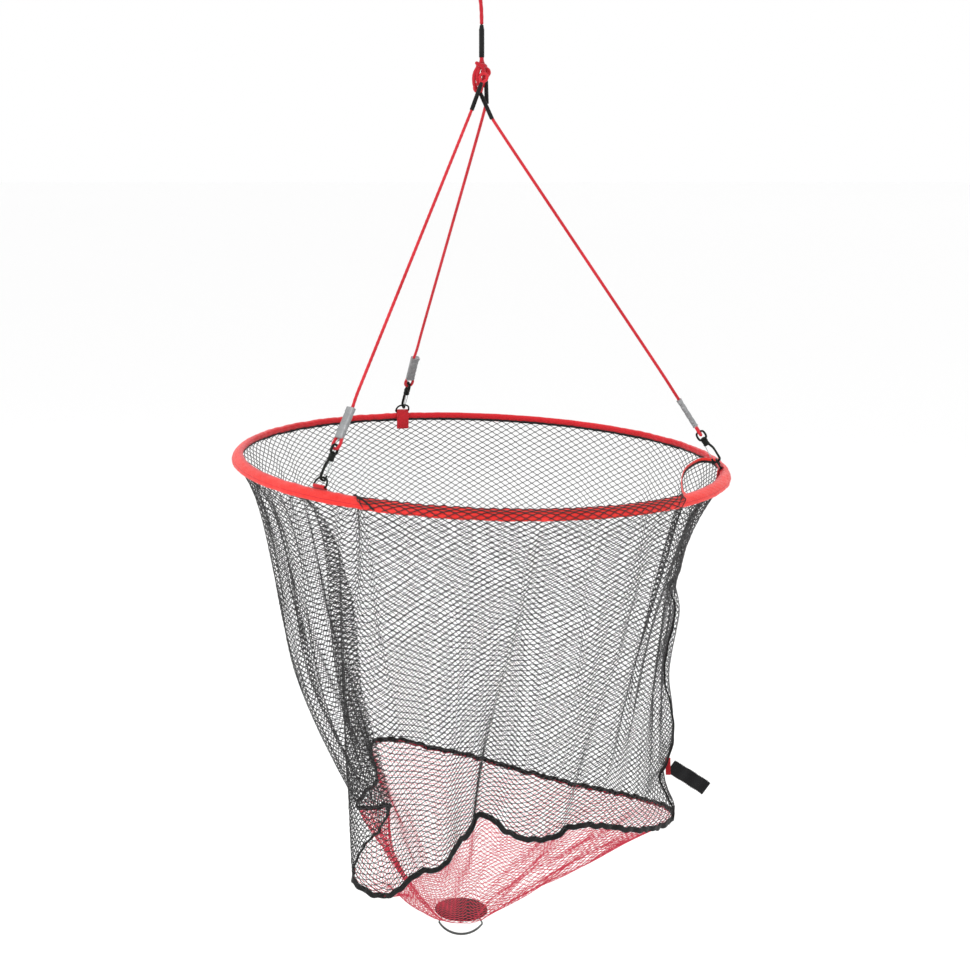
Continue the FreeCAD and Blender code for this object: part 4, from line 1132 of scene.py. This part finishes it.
# %% Rows of the side net
COLUMNS, ROWS, WRAP_ROWS = 138, 128, 6      # the first rows lie on the sleeve
TWINE_R = 0.00072
NODE = 0.09     # half of a turn's short bar, in columns
fine_a = np.linspace(0, 360, 2401) + SEAM_AZIMUTH
ANCHORS = np.linspace(0, 360, 19) + SEAM_AZIMUTH
row_lines, row_columns, row_lengths = [], [], []
for row in range(ROWS + 1):
    if row < WRAP_ROWS:     # the rows that lie on the sleeve
        share = row / WRAP_ROWS
        f = front_share(fine_a)
        start, stop = 150 * f + 195 * (1 - f), -15 * f + 262 * (1 - f)
        theta = start + (stop - start) * share
        r = sleeve_radius(fine_a, theta % 360) + 0.0010
        rt = np.radians(theta)
        a = np.radians(fine_a)
        line = np.stack([(HOOP_R + r * np.cos(rt)) * np.cos(a), (HOOP_R + r * np.cos(rt)) * np.sin(a),
                         r * np.sin(rt)], -1)
    else:
        v = np.full_like(fine_a, (row - WRAP_ROWS) / (ROWS - WRAP_ROWS))
        line = bag(fine_a, v)
    lengths = np.concatenate([[0], np.cumsum(np.linalg.norm(np.diff(line, axis=0), axis=1))])
    at_anchors = np.interp(ANCHORS, fine_a, lengths)
    row_lines.append(line)
    row_columns.append(np.interp(lengths, at_anchors, (ANCHORS - SEAM_AZIMUTH) / 360 * COLUMNS))
    row_lengths.append(lengths[-1])
print("row lengths", [round(row_lengths[k], 2) for k in (0, 8, 40, 64, 90, 128)])


def on_row(row, columns):
    """Points on a row at places given in columns."""
    at = columns % COLUMNS
    return np.stack([np.interp(at, row_columns[row], row_lines[row][:, k]) for k in range(3)], -1)


print("a cell is", round(row_lengths[40] / COLUMNS * 1000, 1), "mm wide")

# %% Strands of the side net
base_columns = np.arange(COLUMNS)[:, None] + np.array([-NODE, NODE, 0.5 - NODE, 0.5 + NODE])
strands, strand_normals = [], []
shake = np.random.default_rng(5)
for row in range(ROWS):
    columns = (base_columns + (row % 2) / 2).ravel()
    upper, lower = on_row(row, columns), on_row(row + 1, columns)
    down = lower - upper
    step_ = np.linalg.norm(down, axis=1)[:, None] + 1e-9
    down = down / step_
    at_top = np.tile([1, 1, 0, 0], COLUMNS)[:, None]
    inset = np.minimum(TWINE_R * 0.95, step_ * 0.3)
    points = at_top * (upper + down * inset) + (1 - at_top) * (lower - down * inset)
    along = on_row(row, columns + 0.4) - on_row(row, columns - 0.4)
    normal = np.cross(along, down)
    normal /= np.linalg.norm(normal, axis=1)[:, None] + 1e-9
    points = points + normal * shake.normal(0, 0.00015, (len(points), 1))
    strands.append(points)
    strand_normals.append(normal)
strands, strand_normals = np.array(strands), np.array(strand_normals)
cuts = (0, 32, 64, 96, 128)
for part_, (lo, hi) in enumerate(zip(cuts[:-1], cuts[1:])):
    obj = twine(f"net_side_twine_{part_}", strands[lo:hi], strand_normals[lo:hi], TWINE_R,
                MATS["twine"])
    piece(obj, "hoop", "net_black", "net_side", squash=True)
    print(obj.name, len(obj.data.polygons), "faces")

# %% [markdown]
# ## The red base
# The base is a flat disc of finer net, cut from a sheet, so its cells are a straight grid that
# ends at the round seam. The disc is wider than its seam is now, and its slack hangs lowest at
# the front left. The patch closes its middle, so no twine runs there.

# %% Base surface
PATCH = np.array([-0.004, 0.0, -0.7848])
PATCH_R = 0.045
PATCH_SHARE = 0.88      # from the rim to the patch's edge, as a share of the way to the centre
whole_turn = np.arange(720) / 2.0
rim_points = bag(whole_turn, np.ones(720))
even_rim = np.mean([np.roll(rim_points, shift, 0) for shift in range(-44, 45, 4)], axis=0)


def base(azimuth, r):
    """The base's surface: r is the share from the centre to the seam."""
    s = 1 - r
    rim = bag(azimuth, np.ones_like(azimuth))
    even = np.stack([np.interp(azimuth % 360, whole_turn, even_rim[:, k], period=360)
                     for k in range(3)], -1)
    calm = 0.42 * step01(s, 0.0, 0.30)[..., None]
    rim = rim * (1 - calm) + even * calm
    slack = np.exp(-(apart(azimuth, 215) / 35) ** 2)
    to_patch = np.clip(s / PATCH_SHARE, 0, 1)
    inwards = to_patch ** (1 + 0.25 * slack)
    drop = 1 - (1 - to_patch) ** (1.0 + 0.12 * slack)
    a = np.radians(azimuth)
    edge_ = PATCH + np.stack([PATCH_R * np.cos(a), PATCH_R * np.sin(a), 0 * a], -1)
    middle = np.clip((s - PATCH_SHARE) / (1 - PATCH_SHARE), 0, 1)[..., None]
    p = rim + (edge_ - rim) * np.stack([inwards, inwards, drop], -1)
    p = p * (1 - middle) + PATCH * middle
    wave = np.sin(np.pi * to_patch)
    ripple = (0.0045 * np.sin(9 * a + 5 * s) + 0.0035 * np.sin(17 * a - 8 * s)
              + 0.0015 * np.sin(31 * a + 12 * s)) * wave
    out = np.stack([np.cos(a), np.sin(a), 0 * a], -1)
    p = p + out * (0.010 * slack * wave)[..., None]
    return p + np.stack([0 * a, 0 * a, ripple + 0.001 * wave], -1)


print("base's middle at", base(np.array([0.0]), np.array([0.0])).round(4)[0])

# %% Base strands
DISC_R = 0.300
CELL_W, CELL_H = 0.0122, 0.0084
RED_R = 0.00050
OPEN_R = 0.033      # no twine closer to the middle than this
half_rows = int(DISC_R / (CELL_H / 2))
half_columns = int(DISC_R / CELL_W)
level = np.arange(-half_rows, half_rows)
columns = (np.arange(-half_columns, half_columns + 1)[:, None]
           + np.array([-0.11, 0.11, 0.39, 0.61])).ravel()
flat_x = (columns[None] + (level[:, None] % 2) / 2) * CELL_W
top_side = np.tile([1, 1, 0, 0], len(columns) // 4)[None]
inset_y = RED_R * 0.9
flat_y = (level[:, None] * CELL_H / 2 + top_side * inset_y
          + (1 - top_side) * (CELL_H / 2 - inset_y))


def on_base(x, y):
    """Where a point of the flat disc comes to lie on the base."""
    azimuth = np.degrees(np.arctan2(y, x))
    return base(azimuth, np.clip(np.hypot(x, y) / DISC_R, 0, 1))


points = on_base(flat_x, flat_y)
tiny = 0.002
normal = np.cross(on_base(flat_x + tiny, flat_y) - on_base(flat_x - tiny, flat_y),
                  on_base(flat_x, flat_y + tiny) - on_base(flat_x, flat_y - tiny))
normal /= np.linalg.norm(normal, axis=2)[..., None] + 1e-12
from_centre = np.hypot(flat_x, flat_y)
inside = (from_centre < DISC_R) & (from_centre > OPEN_R)
half = len(level) // 2
for part_, rows in enumerate((slice(0, half), slice(half, None))):
    obj = twine(f"base_panel_twine_{part_}", points[rows], normal[rows], RED_R, MATS["twine_red"],
                keep=inside[rows], closed=False)
    piece(obj, "hoop", "net_red", "base_panel", squash=True)
    print(obj.name, len(obj.data.polygons), "faces")

# %% [markdown]
# ## Bindings
# Black woven tape is folded over the bottom seam and down the side seam. A tape that is sewn to
# slack net cannot lie flat: it cockles, so its line wavers and its face turns in and out.

# %% Bottom binding
tape_line = smooth_line(seam_line, 0.003, closed=True)
s = np.linspace(0, 2 * math.pi, len(tape_line), endpoint=False)
tape_line[:, 2] += 0.0010 * np.sin(61 * s) + 0.0008 * np.sin(97 * s + 1)
outward = tape_line - tape_line.mean(0)
outward[:, 2] = 0
outward /= np.linalg.norm(outward, axis=1)[:, None]
tape_line += outward * (0.0012 * np.sin(43 * s) + 0.0008 * np.sin(83 * s))[:, None]
binding = tape("bottom_seam_tape", place_points(HOOP, tape_line), 0.0088, 0.0032, MATS["binding"],
               NORMAL, closed=True, corner=0.001)
piece(binding, "hoop", "binding_black", "bottom_seam", squash=True)
print("bottom binding of", len(tape_line), "steps")

# %% Side binding
v = np.linspace(0.005, 0.995, 260)
side_line = bag(np.full_like(v, SEAM_AZIMUTH), v)
runs = []
for shift, wide in ((-0.0030, 0.0048), (0.0030, 0.0044)):
    line = side_line.copy()
    line[:, 0] += 0.0012 + 0.0006 * np.sin(v * 90)
    line[:, 1] += shift + 0.0008 * np.sin(v * 61 + shift * 900)
    runs.append(tape("run", place_points(HOOP, line), wide, 0.0022, MATS["binding"], (0.2, -1, 0),
                     corner=0.0008))
piece(join("side_seam_tape", *runs), "hoop", "binding_black", "side_seam", squash=True)
print("side seam", round(evenly(side_line, 0.002)[1], 3), "m down")

# %% The net's bound edge where it comes over the sleeve
edge_a = np.linspace(240.5, 247.5, 40)
edge_t = np.linspace(165, -25, 40)
edge_r = sleeve_radius(edge_a, edge_t % 360) + 0.0016
over = hoop_point(HOOP_R + edge_r * np.cos(np.radians(edge_t)), edge_a,
                  edge_r * np.sin(np.radians(edge_t)))
edge = tape("net_edge_tape", over, 0.0042, 0.0012, MATS["binding"], (1, -0.4, 0))
piece(edge, "hoop", "binding_black")
print("net edge", round(evenly(over, 0.001)[1], 3), "m")

# %% [markdown]
# ## Patch, bottom ring and its fold of webbing
# The patch is two round pieces of webbing sewn together round the sinker, so it is a little pillow
# with a rim of stitches. The ring hangs under it in a fold of the same webbing.

# %% Patch
centre = HOOP @ Matrix.Translation((-0.004, 0, -0.7800))
profile = [(0.0001, 0.0030), (0.015, 0.0030), (0.028, 0.0027), (0.036, 0.0022), (0.0395, 0.0012),
           (0.0410, 0.0011), (0.0440, 0.0014), (0.0450, 0.0004), (0.0450, -0.0004),
           (0.0440, -0.0014), (0.0410, -0.0011), (0.0395, -0.0012), (0.036, -0.0022),
           (0.028, -0.0027), (0.015, -0.0030), (0.0001, -0.0030)]


def pillow(name, matrix, profile_, material_, sides=96):
    """Turn an outline about Z, with flat UVs from above for the weave."""
    outline = smooth_line(np.array(profile_), 0.0012)
    t = np.arange(sides) * 2 * math.pi / sides
    r = outline[:, :1] * (1 + 0.004 * np.sin(24 * t))
    pts = np.stack([r * np.cos(t), r * np.sin(t), np.repeat(outline[:, 1:], sides, 1)], -1)
    k, q = np.meshgrid(np.arange(len(outline) - 1), np.arange(sides), indexing="ij")
    q2 = (q + 1) % sides
    f = np.stack([k * sides + q, (k + 1) * sides + q, (k + 1) * sides + q2, k * sides + q2], -1)
    flat_uv = pts[..., :2].reshape(-1, 2)
    return mesh_object(name, place_points(matrix, pts.reshape(-1, 3)), f.reshape(-1, 4), material_,
                       flat_uv)


pad = pillow("base_patch_pad", centre, profile, MATS["patch"])
t = np.linspace(0, 2 * math.pi, 260)
STITCH_R = 0.0425
rims = []
for face in (1, -1):
    circle = np.stack([STITCH_R * np.cos(t), STITCH_R * np.sin(t), 0 * t + face * 0.0016], 1)
    rims.append(stitches("rim", place_points(centre, circle), face * NORMAL, MATS["binding"],
                         0.003, 0.0015, 0.0004))
piece(join("base_patch_pillow", pad, *rims), "base", "patch_black", "base_patch")
print("patch", round(2 * PATCH_R, 3), "m across")

# %% Ring's fold of webbing, down one side of the ring's bar and up the other
RING_FOLD = [(-0.0041, -0.0022), (-0.0042, -0.0080), (-0.0036, -0.0110), (-0.0018, -0.0126),
             (0.0, -0.0129), (0.0018, -0.0126), (0.0036, -0.0110), (0.0042, -0.0080),
             (0.0041, -0.0022)]
fold_line = smooth_line(np.array([(0, y, z) for y, z in RING_FOLD]), 0.0007)
ring_fold = tape("base_ring_fold", place_points(centre, fold_line), 0.0460, 0.0013, MATS["patch"],
                 centre.to_3x3() @ Vector((1, 0, 0)))
piece(ring_fold, "base", "patch_black", "base_ring_tab")
print("fold of", len(fold_line), "steps")

# %% [markdown]
# ## Hard pieces that keep their CAD shape
# The hoop's wire and its ferrule are inside the sleeve, the sinker is inside the patch, and the
# bottom ring is a bent steel strip. Their CAD shapes are already right, so they only get materials.

# %% Materials on the CAD's own pieces
for node, key in (("hoop_wire", "steel"), ("hoop_ferrule", "steel"), ("sinker", "lead"),
                  ("base_ring", "ring")):
    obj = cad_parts[node]
    obj.data.materials.clear()
    obj.data.materials.append(MATS[key])

# %% [markdown]
# ## The strap
# A hook-and-loop strap hangs from the side seam and holds the folded net shut. Its loop side is a
# short pile, which softens the outline: fine hairs stand all over it and along its edges.

# %% Strap's frame
STRAP_ROOT = (0.3330, -0.0241, -0.5004)
SEAM_WAIST, SEAM_FOOT = (0.3102, -0.0327, -0.330), (0.3314, -0.0169, -0.5956)


def strap_frame():
    """A frame at the strap's root: X along the strap, Z across it, on the seam's line."""
    line = (Vector(SEAM_WAIST) - Vector(SEAM_FOOT)).normalized()
    away = Vector((math.cos(math.radians(SEAM_AZIMUTH)), math.sin(math.radians(SEAM_AZIMUTH)), 0))
    across = line.cross(away).normalized()
    outwards = across.cross(line).normalized()
    rows = Matrix((outwards, across, line)).transposed().to_4x4()
    return HOOP @ Matrix.Translation(STRAP_ROOT) @ rows


STRAP = strap_frame()

# %% Strap's band
DROOP = math.radians(34)
STRAP_LENGTH, STRAP_WIDTH = 0.070, 0.025
along = np.array([math.cos(DROOP), 0, -math.sin(DROOP)])
wide = np.array([math.sin(DROOP), 0, math.cos(DROOP)])
x = np.linspace(0.0, STRAP_LENGTH, 60)
curl = 0.0022 * np.sin(x / STRAP_LENGTH * math.pi * 0.9) + 0.0008 * np.sin(x * 240)
strap_line = x[:, None] * along + curl[:, None] * np.array([0, 1, 0])
t_end = np.clip((x - 0.0665) / 0.0035, 0, 1)
half_wide = STRAP_WIDTH / 2 - 0.0006 * (1 - np.sqrt(1 - np.clip(t_end, 0, 0.98) ** 2))
profile = slab(STRAP_WIDTH, 0.0020, 0.0007)
section = profile[None] * np.stack([half_wide / (STRAP_WIDTH / 2), np.ones(60)], -1)[:, None]
strap_mesh = sweep("strap_tape", place_points(STRAP, strap_line), section, MATS["strap"],
                   hint=STRAP.to_3x3() @ Vector(wide))
print("strap band of", len(strap_line), "steps")

# %% Pile on the strap
fuzz = np.random.default_rng(11)
count = 2600
fx, fw = fuzz.uniform(0.001, 0.0695, count), fuzz.uniform(-0.0124, 0.0124, count)
side = fuzz.choice([-1, 1], count)
edge_hair = fuzz.random(count) < 0.35
fw = np.where(edge_hair, 0.0124 * np.sign(fw), fw)
roots = (fx[:, None] * along + fw[:, None] * wide
         + (np.interp(fx, x, curl) + side * 0.0009)[:, None] * np.array([0, 1, 0]))
lift = np.where(edge_hair[:, None], np.sign(fw)[:, None] * wide, side[:, None] * np.array([0, 1, 0]))
tips = (roots + lift * fuzz.uniform(0.0004, 0.0012, count)[:, None]
        + fuzz.normal(0, 0.0004, (count, 3)))
blade = fuzz.normal(0, 1, (count, 3))
blade /= np.linalg.norm(blade, axis=1)[:, None] / 0.00012
hairs = np.stack([roots - blade, roots + blade, tips + blade * 0.4, tips - blade * 0.4], 1)
pile = mesh_object("pile", place_points(STRAP, hairs.reshape(-1, 3)),
                   np.arange(count * 4).reshape(-1, 4), MATS["strap"])
print(count, "hairs")

# %% Stitches, and the strap as one piece
sewn = []
for inset_x in (0.003, 0.007):
    ends = [inset_x * along + w * wide + np.array([0, -0.0013, 0]) for w in (-0.011, 0.011)]
    sewn.append(stitches("sewn", place_points(STRAP, ends), STRAP.to_3x3() @ Vector((0, -1, 0)),
                         MATS["binding"]))
piece(join("strap_hook_and_loop", strap_mesh, pile, *sewn), "strap", "strap_black", "strap")
print("strap of", len(PIECES[-1].data.polygons), "faces")

# %% [markdown]
# ## The strap's tab
# The strap hangs from a short red webbing that is folded double. The fold is the strap's hinge, and
# the webbing's two ends go into the side seam.

# %% Strap's tab
TAB_FOLD = [(-0.0085, -0.0008), (-0.0040, -0.0009), (-0.0022, -0.0010), (-0.0010, -0.0006),
            (-0.0008, 0.0), (-0.0010, 0.0006), (-0.0022, 0.0010), (-0.0040, 0.0009),
            (-0.0085, 0.0008)]
tab_line = smooth_line(np.array([(x_, y_, 0) for x_, y_ in TAB_FOLD]), 0.0004)
tab = tape("strap_tab_webbing", place_points(STRAP, tab_line), 0.0302, 0.0012, MATS["webbing"],
           STRAP.to_3x3() @ Vector((0, 0, 1)))
piece(tab, "strap_root", "webbing_red", "strap_tab")

# %% [markdown]
# ## Floor, light and camera
# A pale studio: a light floor under the net, a white surround and large soft lights. The camera
# looks down by about 12 degrees, which shows the hoop as a flat oval.

# %% Floor
bpy.ops.mesh.primitive_plane_add(size=60, location=(0, 0, -1.98))
floor = bpy.context.object
floor.name = "studio_floor"
floor_mat = bpy.data.materials.new("StudioFloor")
floor_mat.use_nodes = True
floor_tree = floor_mat.node_tree
floor_shader = floor_tree.nodes["Principled BSDF"]
floor_shader.inputs["Roughness"].default_value = 0.9
grain = floor_tree.nodes.new("ShaderNodeTexNoise")
grain.inputs["Scale"].default_value = 3.0
tones = floor_tree.nodes.new("ShaderNodeValToRGB")
tones.color_ramp.elements[0].color = (0.97, 0.97, 0.97, 1)
tones.color_ramp.elements[1].color = (1.0, 1.0, 1.0, 1)
floor_tree.links.new(grain.outputs["Fac"], tones.inputs["Fac"])
floor_tree.links.new(tones.outputs["Color"], floor_shader.inputs["Base Color"])
floor.data.materials.append(floor_mat)
print("floor at", floor.location.z)

# %% World and lights
world = bpy.data.worlds.new("Studio")
bpy.context.scene.world = world
world.use_nodes = True
world.node_tree.nodes["Background"].inputs["Color"].default_value = (1, 1, 1, 1)
world.node_tree.nodes["Background"].inputs["Strength"].default_value = 1.0


def area_light(name, place, target, size, power):
    """A round soft light that looks at a target."""
    light = bpy.data.lights.new(name, "AREA")
    light.shape = "DISK"
    light.size = size
    light.energy = power
    obj = bpy.data.objects.new(name, light)
    obj.location = place
    obj.rotation_euler = (Vector(target) - Vector(place)).to_track_quat("-Z", "Y").to_euler()
    bpy.context.scene.collection.objects.link(obj)


area_light("Key", (-2.6, -2.8, 1.6), (0, 0, -0.9), 1.6, 60)
area_light("Fill", (3.0, -2.0, 0.4), (0, 0, -0.9), 2.2, 14)
area_light("Back", (0.8, 3.0, 1.8), (0, 0, -0.9), 2.0, 25)
print("three soft lights")

# %% Camera
camera = bpy.data.cameras.new("Camera")
camera.lens = 69.1
camera.sensor_width = 36
view = bpy.data.objects.new("Camera", camera)
view.location = (0, -2.941, -0.274)
view.rotation_euler = (math.radians(90 - 12.2), 0, math.radians(-0.1))
bpy.context.scene.collection.objects.link(view)
bpy.context.scene.camera = view
bpy.context.scene.view_settings.view_transform = "Standard"
bpy.context.scene.view_settings.look = "None"
print("camera", camera.lens, "mm at", tuple(view.location))

# %% [markdown]
# ## The soft pieces
# When the net folds, the base comes up to the hoop. Here every soft piece of the bag only gets
# a mesh of its own.

# %% Own meshes for the soft pieces
for obj in SOFT:
    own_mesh(obj)
print(len(PIECES), "pieces")
